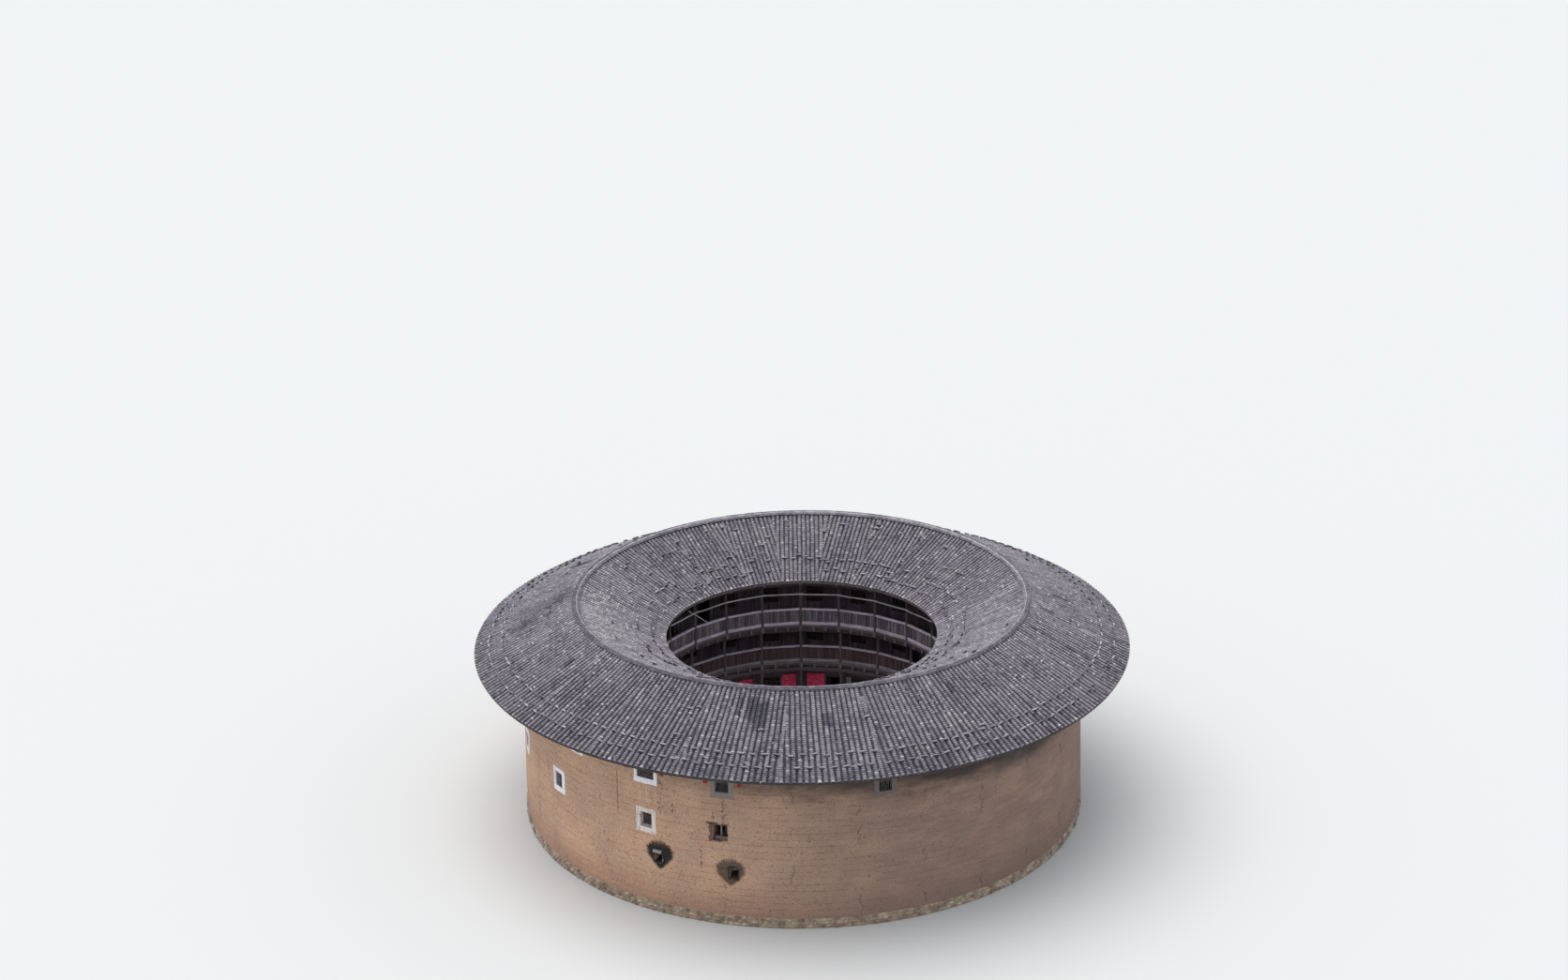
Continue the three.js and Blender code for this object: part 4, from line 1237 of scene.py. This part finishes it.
def add_bay_front(storey, bay, boards, rails, doors):
    floor, _, top = STOREYS[storey]
    out, side = turned(bay)
    line = out * FRONT_LINE
    gate = storey == "ground" and abs(bay - GATE_ANGLE) < 1
    left, right, door_top = (-PASSAGE[0] / 2, PASSAGE[0] / 2, PASSAGE_TOP) if gate else DOOR
    door_top += floor
    near, far, low, high = (right, right, 0, 0) if gate else WINDOW
    low, high = floor + low, floor + high
    foot, head = floor + 0.1, top - 0.01

    def strip(*edges):
        add_boards(boards, line, out, side, *edges)

    def rail(a, b, level, deep=0.09):
        at = line + UP * level
        add_timbers(rails, at + side * a, at + side * b, 0.1, deep, out, plain_tone(), 0.008)

    def stile(a, bottom, head, wide=0.08):
        at = line + side * a
        add_timbers(rails, at + UP * bottom, at + UP * head, wide, 0.1, side, plain_tone(), 0.008)

    strip(-FRONT_EDGE, left, foot, head)
    strip(left, right, door_top, head)
    if not gate:
        strip(right, near, foot, head)
        strip(near, far, foot, low)
        strip(near, far, high, head)
    strip(far, FRONT_EDGE, foot, head)
    rail(-FRONT_EDGE, FRONT_EDGE, top - 0.06, 0.12)
    rail(-FRONT_EDGE, left, floor + 0.06, 0.12)
    rail(right, FRONT_EDGE, floor + 0.06, 0.12)
    rail(left - 0.06, right + 0.06, door_top + 0.04)
    stile(left - 0.04, floor, door_top)
    stile(right + 0.04, floor, door_top)
    if gate:
        return
    rail(near - 0.06, far + 0.06, low - 0.035, 0.07)
    rail(near - 0.06, far + 0.06, high + 0.035, 0.07)
    stile(near - 0.03, low, high, 0.06)
    stile(far + 0.03, low, high, 0.06)
    add_window_bars(rails, line, side, near, far, low, high)
    shut = bay in SHUT_DOORS if storey == "ground" else chance.uniform(0, 1) < 0.75
    add_door(doors, line, out, side, floor, shut)


def paper_paint():
    """Thin red paper faded in patches; tone 2 is blue-grey, 3 ochre and 4 a dull dark red."""
    paint = Paint("red_paper", (240, 58, 104), 0.8)
    spot = paint.read("grain", "Vector")
    faded = paint.noise(spot, 3.5, 6, 0.7)
    paint.veil((250, 110, 144), faded, 0.4, 0.7)
    paint.veil((150, 44, 62), paint.noise(spot, 30, 3), 0.62, 0.75, 0.5)
    tone = paint.read("tone")
    paint.veil((150, 158, 180), tone, 1.0, 1.5)
    paint.veil((176, 138, 82), tone, 2.2, 2.8)
    paint.veil((150, 38, 34), tone, 3.2, 3.8)
    return paint.finish(faded, 0.004)


def add_papers():
    """Bare papers pasted on a window and on shut doors, faded and curling a little."""
    heap = Heap()
    for bay, left, right, top, tall, proud, tone in PAPERS:
        out, side = turned(bay)
        u, v = np.meshgrid(np.linspace(left, right, 7), np.linspace(0, tall, 7), indexing="ij")
        reach = FRONT_LINE - proud - 0.012 * np.sin(u * 9 + v * 4) ** 2
        level = top - tall + v + 0.01 * np.sin(u * 7)
        corners = side * u[..., None] + out * reach[..., None] + UP * level[..., None]
        heap.sheet(corners, tone, np.stack([u, level, 0 * u], -1), flip=True)
    for angle, height in SCRAPS:
        out, side = turned(angle)
        u, v = np.meshgrid(np.linspace(-0.11, 0.11, 6), np.linspace(-0.12, 0.12, 6), indexing="ij")
        u, v, puff = np.stack([u, v, 0.06 + 0 * u]) + chance.uniform(-0.028, 0.028, (3, 6, 6))
        reach, level = wall_face(height) + 0.01 + puff, height + v
        heap.sheet(side * u[..., None] + out * reach[..., None] + UP * level[..., None], SCRAP_TONE)
    heap.build("pasted_papers", paper_paint(), "board_timber")


def add_room_fronts():
    board_paint = wood_paint("front_board", FRONT_SMOKE_AND_SKY_LIGHT, 0.6, 1.35, (94, 82, 84), 0.3)
    rail_paint = wood_paint("front_rail", RAIL_SMOKE)
    door_paint = wood_paint("room_door", DOOR_SMOKE_AND_SKY_LIGHT, 0.7, 1.3, (90, 78, 86), 0.3)
    for storey, (floor, _, top) in STOREYS.items():
        boards, rails, doors = Heap(), Heap(), Heap()
        posts = place(FRONT, BENTS, 0.0)
        add_timbers(rails, posts + UP * floor, posts + UP * (top - 0.002), *FRONT_POST, turned(BENTS)[1],
                    chance.uniform(0.3, 0.7, 24), 0.012)
        for bay in BAYS:
            add_bay_front(storey, bay, boards, rails, doors)
        boards.build(f"{storey}_front_boards", board_paint, "board_timber", [f"{storey}_room_front"])
        rails.build(f"{storey}_front_rails", rail_paint, "board_timber")
        doors.build(f"{storey}_room_doors", door_paint, "door_timber")
    add_papers()


add_room_fronts()

# Roof frame: a round tie beam at every bent, through the wall to the far eave, with purlins on its ends.
# King posts carry the ridge purlin; all are fir logs, bark off, jointed and pegged.
TIE = (8.33, 18.16, 9.93)
TIE_RADIUS = 0.1
PURLINS = ((18.05, 10.12), (8.44, 10.33))
PURLIN_RADIUS = 0.082
RIDGE = 13.0
PEAK = 12.77
RIDGE_PURLIN = 12.42
RIDGE_LOG = 0.085
ROOF_LOG = ((72, 62, 56), (112, 98, 86))


def add_purlin(heap, bents, at_bent, at_middle, height, radius, varied):
    """Straight logs on both sides of each bent, to the middles of the bays."""
    near, left, right = (place(*spot, height) for spot in
                         ((at_bent, bents), (at_middle, bents - 7.5), (at_middle, bents + 7.5)))
    for first, last in ((left, near), (near, right)):
        tone = chance.uniform(0.3, 0.7, len(bents)) if varied else 0.5
        add_logs(heap, first, last, radius, tone, 0.9, 10, 3, 0.002)


def add_roof_frame():
    paint = wood_paint("roof_log", ROOF_LOG)
    shorter = math.cos(HALF_BAY)
    inner, outer, level = TIE
    for quarter, bents in QUARTERS.items():
        ties, ridge = Heap(), Heap()
        add_logs(ties, place(inner, bents, level), place(outer, bents, level), TIE_RADIUS,
                 chance.uniform(0.3, 0.7, len(bents)), 1.4, 10, 7, 0.008)
        for radius, height in PURLINS:
            add_purlin(ties, bents, radius, radius * shorter, height, PURLIN_RADIUS, True)
        ties.build(f"tie_beam_logs_{quarter}", paint, "frame_timber", [f"tie_beams_{quarter}"])
        foot = place(RIDGE, bents, level + 0.1)
        add_logs(ridge, foot, foot + UP * (RIDGE_PURLIN - level - 0.12), RIDGE_LOG)
        add_purlin(ridge, bents, RIDGE * shorter, RIDGE, RIDGE_PURLIN, RIDGE_LOG, False)
        ridge.build(f"ridge_purlin_logs_{quarter}", paint, "frame_timber", [f"ridge_purlin_{quarter}"])


add_roof_frame()

# Rafters and sheathing: flat fir rafters fan from the ridge to both eaves, with thin boards across them.
# A narrow fascia board closes each eave under the tiles.
OUTER_EAVE = (18.8, 10.06)
INNER_EAVE = (7.88, 10.36)
SHEATH_BELOW = 0.105
RAFTER = (0.085, 0.1)
# Slopes: eave, number of rafters, tone of the fascia; the outer fascia's low tone is painted shade under the
# eave
RAFTERS = {"outer": (OUTER_EAVE[0], 264, -0.4), "inner": (INNER_EAVE[0], 168, 1.5)}
RAFTER_FIR = ((72, 64, 62), (106, 96, 92))
# Fascia: thickness, foot and top below the roof's surface
FASCIA = (0.02, 0.19, 0.075)


def roof_level(radius):
    outer = PEAK - (PEAK - OUTER_EAVE[1]) * (radius - RIDGE) / (OUTER_EAVE[0] - RIDGE)
    inner = PEAK - (PEAK - INNER_EAVE[1]) * (RIDGE - radius) / (RIDGE - INNER_EAVE[0])
    return np.where(np.asarray(radius) > RIDGE, outer, inner)


def add_sheathing(heap, radii):
    """Boards in rings, each ring in lengths of 15 degrees and lapped under the next."""
    turn = np.linspace(0, 360, 121)[:, None]
    for a, b in zip(radii, radii[1:]):
        across = np.array([a, b - (b - a) * 0.06])
        level = np.array([roof_level(a), roof_level(b)]) - SHEATH_BELOW
        shift = chance.uniform(0, 40, 3)
        grain = np.stack(np.broadcast_arrays(np.radians(turn) * a, across, 0.0), -1) + shift
        heap.sheet(place(across, turn, level), np.repeat(chance.uniform(0.2, 0.8, 24), 5)[None, :], grain)


def add_rafters():
    paint = wood_paint("rafter_fir", RAFTER_FIR)
    drop = SHEATH_BELOW + 0.012 + RAFTER[1] / 2
    for name, (eave, number, tone) in RAFTERS.items():
        turn = np.arange(number) * 360 / number + chance.uniform(-0.15, 0.15, number)
        sign = 1 if eave > RIDGE else -1
        first, last = RIDGE + sign * 0.05, eave - sign * 0.06
        heap = Heap()
        starts, ends = (place(radius, turn, roof_level(radius) - drop) for radius in (first, last))
        tones = chance.uniform(0.2, 0.8, number)
        add_timbers(heap, starts, ends, *RAFTER, turned(turn)[1], tones, 0.008, 1.5)
        add_sheathing(heap, np.linspace(first, eave - sign * 0.03, 40))
        edge, level = eave - sign * 0.015, float(roof_level(eave))
        thick, low, high = FASCIA
        add_ring(heap, [(edge - thick, level - low), (edge, level - low), (edge, level - high),
                        (edge - thick, level - high)], 240, tone)
        heap.build(f"{name}_roof_boards", paint, "frame_timber", [f"{name}_roof"])


add_rafters()

# Roof tiles: small curved grey clay tiles laid dry, troughs on the boards and covers over their joints.
# They lie in sectors whose rows run nearly side by side, so that rows end slantwise where sectors meet.
COURSE_LENGTH = 0.14
# Tiles: width and rise
COVER = (0.212, 0.066)
TROUGH = (0.2, -0.03)
BED_BELOW = 0.052
EAVE_OVERHANG = 0.06
# Rows: sectors, angle of the first, pitch at the ridge and at the eave
OUTER_ROWS = (21, 4.1, 0.264, 0.338)
INNER_ROWS = (24, 7.5, 0.266, 0.256)
TILE_CLAY = ((86, 82, 92), (150, 144, 150))
# The troughs are darker than the covers: dirt, and painted shade in the grooves.
TROUGH_CLAY = ((40, 38, 44), (74, 70, 78))
# Tone of the ends of covers and ridge tiles: painted shade under each course and in the hollow ends at the
# eave.
SHADED_END_TONE = -0.9
# Newer, darker or paler patches: first and last angle, nearest and furthest radius, tone
PATCHES = [(-14.6, -13.8, 13.5, 14.6, -0.5), (-11.8, -7.6, 13.7, 15.4, -0.45), (3.8, 6.1, 14.4, 15.2, -0.3),
           (33.4, 34.8, 13.9, 14.6, -0.4), (83, 84, 13.6, 14.3, -0.4), (94.2, 95, 14.4, 15.2, -0.2),
           (146, 148, 15, 16.4, -0.4), (-121, -118, 14.2, 15.6, -0.4), (-62, -60.5, 14.4, 15.0, -0.3),
           (94.6, 95.6, 10.5, 12.5, 1.2), (86.5, 87.4, 10.7, 11.9, 1.1), (-100, -98.8, 11.2, 12.1, 1.1)]
# Wide stains and bleached stretches with soft edges: angle, radius, half width and half depth, change of tone
CLOUDS = [(-97, 13.6, 5, 0.8, -0.55), (-92, 14.5, 4, 0.9, -0.5), (-88, 16.1, 3, 1.0, -0.4),
          (71, 15.4, 0.7, 2.6, -1.0), (-84, 10.4, 30, 2.6, 0.22), (85, 10.4, 26, 2.4, 0.1),
          (72, 15.5, 26, 3.0, 0.12), (0, 18.6, 200, 1.0, -0.2), (0, 12.4, 110, 0.6, 0.26),
          (-84, 11.8, 32, 1.6, 0.2), (-52, 16.2, 9, 0.9, -0.12), (24, 15.9, 7, 0.8, 0.12),
          (-22, 15.3, 8, 1.0, 0.08), (48, 14.6, 6, 0.7, -0.12), (180, 11.5, 34, 1.6, 0.1)]


def flank(angle):
    """1 at the left and right of the house, 0 in front and behind."""
    return np.sin(np.radians(angle)) ** 2


def tile_courses(eave):
    """Radii of the ends of the tile courses, from the ridge down to an eave."""
    slope = math.hypot(abs(eave - RIDGE), PEAK - float(roof_level(eave)))
    number = int(round((slope - 0.1) / COURSE_LENGTH))
    return np.linspace(RIDGE + math.copysign(0.1, eave - RIDGE), eave, number + 1)


def lay_rows(eave, rows):
    """The cover rows of a slope: radii of the courses, and each sector's middle angle and rows."""
    sectors, first, near_pitch, far_pitch = rows
    radii = tile_courses(eave)
    share = abs(radii - RIDGE) / abs(eave - RIDGE)
    pitch = near_pitch + (far_pitch - near_pitch) * share
    laid = []
    for sector in range(sectors):
        number = np.arange(-13, 14)[:, None] + chance.uniform(-0.5, 0.5)
        wave = 0.012 * np.sin(np.arange(len(radii)) * 0.23 + chance.uniform(0, 6.3, (27, 1)))
        lean = chance.uniform(-0.04, 0.04) * (share - 0.5)
        laid.append((-first + 360 / sectors * (sector + 0.5), number * pitch + lean + wave))
    return radii, laid, math.pi / sectors


def tile_places(slope, trough=False):
    """Every tile: middle angle of its sector, distance aside at both ends, both radii and its tone."""
    radii, laid, half = slope
    places = []
    for middle, lines in laid:
        lines = (lines[1:] + lines[:-1]) / 2 if trough else lines
        room = half * radii + (0.16 if trough else 0.07)
        for line in lines:
            blocks = np.repeat(chance.normal(0, 0.1, len(radii)), chance.integers(2, 9, len(radii)))
            blocks = blocks + chance.normal(0, 0.07)
            edge = chance.uniform(-0.25, 0.25)
            for j in np.nonzero((abs(line[:-1]) < room[:-1]) & (abs(line[1:]) < room[1:]))[0]:
                places.append((middle, line[j], line[j + 1], radii[j], radii[j + 1], 0.5 + blocks[j], edge))
    return np.array(places)


def tile_tones(angle, radius, tone, edge):
    """Tones with each tile's own difference, a few bleached ones, the soft stains and the patches."""
    number = len(tone)
    tone = tone + chance.normal(0, 0.2, number) + 0.12 * flank(angle)
    tone += (chance.uniform(0, 1, number) < 0.03) * chance.uniform(0.4, 0.9, number)
    for middle, reach, wide, deep, change in CLOUDS:
        off = near_to(angle, middle) - middle
        tone = tone + change * np.exp(-(off / wide) ** 2 - ((radius - reach) / deep) ** 2)
    for first, last, near, far, value in PATCHES:
        here = (angle > first) & (angle < last) & (radius > near + edge) & (radius < far + edge)
        tone = np.where(here, value + chance.normal(0, 0.1, number), tone)
    return tone


def add_tiles(heap, places, shape, below, step, jitter, cover):
    """Curved tiles lying down the slope; the rise of a trough is negative."""
    middle, a, b, r0, r1, tone, edge = places.T
    number = len(places)
    shares = np.array([-1, -0.66, 0, 0.66, 1]) if cover else np.array([-1, 0, 1])
    arch = shape[1] * np.sqrt(1 - shares ** 2)
    out, side = turned(middle)
    a = a + chance.normal(0, jitter, number)
    b = b + chance.normal(0, jitter, number)
    slipped = (chance.uniform(0, 1, number) < 0.006) * chance.uniform(-0.07, 0.07, number)
    outward = r1[0] > r0[0]
    if cover:
        r1 = r1 + EAVE_OVERHANG * ((r1 == r1.max()) * 1.0 if outward else (r1 == r1.min()) * -1.0)
    size = shape[0] * (1 + 0.02 * np.maximum(r0 - RIDGE, 0)) * chance.uniform(0.95, 1.05, number)
    ends = []
    for offset, radius, lift in ((a, r0, 0.0), (b + slipped, r1, step + chance.normal(0, 0.004, number))):
        across = offset[:, None] + shares * size[:, None] / 2
        forward = np.sqrt(radius[:, None] ** 2 - across ** 2)
        end = out[:, None] * forward[..., None] + side[:, None] * across[..., None]
        end[..., 2] = (roof_level(radius) - below + lift)[:, None] + arch
        ends.append(end)
    k = len(shares)
    faces = [(i, i + 1, k + i + 1, k + i) for i in range(k - 1)]
    faces += [tuple(range(k, 2 * k))] if cover else []
    faces = [face[::-1] for face in faces] if outward else faces
    angle = (middle + np.degrees(a / r0) + 180) % 360 - 180
    tones = tile_tones(angle, r0, tone, edge)[:, None] * np.ones(len(faces))
    if cover:
        # The flanks of each cover are darker, more so at the left and right of the house: painted shade in
        # the grooves between the rows.
        tones[:, [0, 3]] -= 0.45 + 0.35 * flank(angle)[:, None]
        tones[:, -1] = SHADED_END_TONE
    corners = np.concatenate(ends, 1)
    heap.add(corners, faces, tones, corners + chance.uniform(0, 30, (number, 1, 3)))


def tile_paint(name, shades):
    """Unglazed grey clay gone mottled with lichen and soot, each tile of its own shade."""
    dark, pale = shades
    paint = Paint(name, dark, 0.9)
    own = paint.read("grain", "Vector")
    tone = paint.read("tone")
    lichen = paint.noise(own, 15, 5, 0.7)
    fine = paint.noise(own, 70, 3, 0.6)
    paint.veil(pale, tone, -0.1, 1.1)
    # Low tones go towards near black and high tones towards pale grey: besides dark and bleached tiles, they
    # carry the painted shade on cover flanks, tile ends and brick sides and the painted light on brick tops
    # and ends.
    paint.veil((70, 66, 80), tone, -0.1, -0.35, 0.8)
    paint.veil((188, 183, 182), tone, 1.0, 1.25, 0.8)
    paint.veil(darker(pale, 0.95), paint.noise(paint.position(), 0.55, 5), 0.42, 0.66, 0.35)
    paint.veil((180, 175, 174), lichen, 0.56, 0.7, 0.6)
    paint.veil((58, 54, 62), lichen, 0.44, 0.3, 0.55)
    paint.veil((34, 32, 38), tone, -0.6, -0.8)
    return paint.finish(paint.plus(lichen, paint.times(fine, 0.5)), 0.006)


SLOPES = {"outer": lay_rows(OUTER_EAVE[0], OUTER_ROWS), "inner": lay_rows(INNER_EAVE[0], INNER_ROWS)}
tile_clay = tile_paint("roof_tile_clay", TILE_CLAY)


def add_roof_tiles():
    dirty_and_shaded = tile_paint("trough_tile_clay", TROUGH_CLAY)
    for name, slope in SLOPES.items():
        places = tile_places(slope)
        facing = np.cos(np.radians(places[:, 0])) > 0
        for half, chosen in (("front", facing), ("back", ~facing)):
            covers = Heap()
            add_tiles(covers, places[chosen], COVER, BED_BELOW, 0.026, 0.006, True)
            covers.build(f"{name}_cover_tiles_{half}", tile_clay, "roof_tile", [f"{name}_roof"])
        troughs = Heap()
        add_tiles(troughs, tile_places(slope, True), TROUGH, BED_BELOW + 0.012, 0.01, 0.004, False)
        troughs.build(f"{name}_trough_tiles", dirty_and_shaded, "roof_tile", [f"{name}_roof"])


add_roof_tiles()

# Ridge: half-round cover tiles laid end to end on a bed of lime mortar that seals the heads of both slopes.
# A course of tiles leans against each side of the bed, and a fillet of pale lime runs along the inner edge.
RIDGE_TILES = 480
# Sections: distance from the ridge and height over the peak
BED = [(-0.19, -0.13), (-0.15, -0.03), (-0.09, 0.075), (0.08, 0.075), (0.12, -0.02), (0.15, -0.13)]
FILLET = [(-0.135, 0.02), (-0.115, 0.092), (-0.075, 0.108), (-0.055, 0.05)]
# Courses of tiles: distance from the ridge, width, height at the inner and at the outer edge, rise, tone
CREST = [(0.015, 0.15, 0.055, 0.055, 0.062, 0.05), (0.135, 0.09, 0.045, -0.01, 0.025, -0.1),
         (-0.2, 0.13, -0.05, 0.03, 0.03, 0.25)]
RIDGE_MORTAR = ((70, 66, 70), (112, 106, 108))
RIDGE_LIME = ((136, 132, 136), (184, 180, 182))


def add_lengthwise(heap, offset, width, low, high, rise, tone):
    """Tiles laid end to end round the ridge, with one height at the inner edge and one at the outer."""
    turn = np.arange(RIDGE_TILES) * 360 / RIDGE_TILES + chance.normal(0, 0.05, RIDGE_TILES)
    half = math.pi * RIDGE / RIDGE_TILES * 1.1
    shares = np.array([-1, -0.7, -0.25, 0.25, 0.7, 1])
    level = (low + high) / 2 + (high - low) / 2 * shares + rise * np.sqrt(1 - shares ** 2 * 0.98)
    out, side = turned(turn)
    shift = chance.normal(0, 0.007, (RIDGE_TILES, 1))
    ends = []
    for along, lift in ((-half, 0.0), (half, 0.014)):
        end = out[:, None] * (RIDGE + offset + shares * width / 2 + shift)[..., None] + side[:, None] * along
        end[..., 2] = PEAK + level + lift + chance.normal(0, 0.004, (RIDGE_TILES, 1))
        ends.append(end)
    faces = [(i, i + 1, i + 7, i + 6)[::-1] for i in range(5)] + [(6, 7, 8, 9, 10, 11)]
    tones = (chance.normal(tone, 0.18, RIDGE_TILES) + 0.1 * flank(turn))[:, None] * np.ones(6)
    tones[:, -1] = SHADED_END_TONE
    corners = np.concatenate(ends, 1)
    heap.add(corners, faces, tones, corners + chance.uniform(0, 30, (RIDGE_TILES, 1, 3)))


def add_wavering_ring(heap, section, waver):
    """A ring round the ridge from a closed section, uneven as if laid by hand."""
    angles = np.linspace(0, 360, 721)
    wave = waver * (np.sin(np.radians(angles) * 47) + 0.8 * np.sin(np.radians(angles) * 131 + 1))
    ring = np.array([*section, section[0]])
    shake = chance.uniform(-waver, waver, (2, len(angles), len(ring)))
    shake[:, -1] = shake[:, 0]
    shake[:, :, -1] = shake[:, :, 0]
    reach = RIDGE + ring[:, 0] + wave[:, None] + shake[0]
    heap.sheet(place(reach, angles[:, None], PEAK + ring[:, 1] + shake[1]), flip=True)


def add_ridge():
    bed, fillet, tiles = Heap(), Heap(), Heap()
    add_wavering_ring(bed, BED, 0.006)
    mortar = stone_paint("ridge_mortar", RIDGE_MORTAR, 0.9, 1.1)
    lime = stone_paint("ridge_lime", RIDGE_LIME, 0.9, 1.1)
    bed.build("ridge_bed", mortar, "ridge_tile", ["ridge_capping"], smooth=True)
    add_wavering_ring(fillet, FILLET, 0.007)
    fillet.build("ridge_fillet", lime, "ridge_tile", smooth=True)
    for course in CREST:
        add_lengthwise(tiles, *course)
    tiles.build("ridge_tiles", tile_clay, "ridge_tile")


add_ridge()

# Weights: spare bricks laid over every other groove, bridging two covers, in two lines near each eave.
# More lie loose on the inner slope; they are grey fired bricks and broken tile, only resting in place.
BRICK = (0.31, 0.1, 0.1)
# Lines of bricks: the two radii, the share that is missing, how far they stray
BRICK_LINES = {"outer": ((17.2, 17.98), 0.05, 0.03), "inner": ((9.45, 8.65), 0.3, 0.08)}
# Loose bricks: nearest and furthest radius, number
LOOSE = ((8.4, 12.4, 70), (13.8, 17, 26))
# Change of tone by face, eight sides and then the two ends: painted light on the top and the ends, painted
# shade on the sides and the bottom
BRICK_LIGHT_AND_SHADE = np.array([0.45, 0.1, -0.7, -0.7, -0.7, -0.7, -0.7, 0.1, 1.0, 1.2])


def groove_spots(name, radius, start):
    """Angles at which every other groove between two cover rows crosses a radius."""
    radii, laid, half = SLOPES[name]
    spots = []
    for middle, lines in laid:
        line = lines[:, np.argmin(abs(radii - radius))]
        aside = ((line[1:] + line[:-1]) / 2)[start::2]
        spots.extend(middle + np.degrees(aside[abs(aside) < half * radius - 0.05] / radius))
    return np.array(spots)


def brick_spots():
    spots = []
    for name, (radii, missing, stray) in BRICK_LINES.items():
        for start, radius in enumerate(radii):
            angle = groove_spots(name, radius, start)
            angle = angle[chance.uniform(0, 1, len(angle)) > missing]
            spots.append(np.stack([angle, radius + chance.normal(0, stray, len(angle))], 1))
    for near, far, number in LOOSE:
        angle = chance.uniform(0, 360, number)
        spots.append(np.stack([angle, chance.uniform(near, far, number)], 1))
    return np.concatenate(spots).T


def add_weights():
    angle, radius = brick_spots()
    number = len(angle)
    out, side = turned(angle)
    fall = (roof_level(radius + 0.001) - roof_level(radius)) / 0.001
    slope = out + fall[:, None] * UP
    slope /= np.linalg.norm(slope, axis=1, keepdims=True)
    up = np.cross(side, slope)
    up *= np.sign(up[:, 2:])
    twist = chance.normal(0, 0.1, number)[:, None]
    along = side * np.cos(twist) + slope * np.sin(twist)
    middle = place(radius, angle, roof_level(radius) + COVER[1] - BED_BELOW) + up * (BRICK[2] / 2 + 0.004)
    half = along * (BRICK[0] / 2 * chance.uniform(0.85, 1.12, number))[:, None]
    tone = chance.normal(0.2, 0.2, number) + 0.6 * flank(angle) * chance.choice([-1, 1], number)
    wide, deep = BRICK[1] * chance.uniform(0.85, 1.1, number), BRICK[2] * chance.uniform(0.85, 1.15, number)
    heap = Heap()
    add_timbers(heap, middle - half, middle + half, wide, deep, np.cross(along, up), tone, 0.012,
                change=BRICK_LIGHT_AND_SHADE)
    heap.build("roof_weights", tile_clay, "roof_tile")


add_weights()

# Drying poles: long bamboo canes lashed to the third storey's posts under the inner eave.
# They are bleached a pale grey, lapped at the posts, with a stay down to the rail at one end.
CANE_LEVEL = 9.12
CANE_RADIUS = 0.04
CANE_BENTS = np.arange(120, 255, 15.0)
# Stay: angle and height of its two ends
STAY_HEAD = (229.0, 9.35)
STAY_FOOT = (218.0, 8.0)
STAY_RADIUS = 0.028
BAMBOO = ((192, 184, 184), (224, 216, 216))


def add_canes():
    heap = Heap()
    radius = STOREYS["third"][1] - 0.13
    sag = CANE_LEVEL + chance.uniform(-0.08, 0.08, len(CANE_BENTS))
    for bent, low, high in zip(CANE_BENTS, sag, sag[1:]):
        add_logs(heap, place(radius, bent - 1.2, low), place(radius - 0.03, bent + 16.0, high), CANE_RADIUS,
                 0.7, 0.9, 8, 4, 0.014)
    high, low = place(radius + 0.02, *STAY_HEAD), place(radius + 0.06, *STAY_FOOT)
    add_logs(heap, high, low, STAY_RADIUS, 0.6, 0.9, 8, 4, 0.01)
    heap.build("drying_canes", wood_paint("bamboo", BAMBOO, 0.8, 1.2, (180, 172, 172)), "frame_timber")


add_canes()
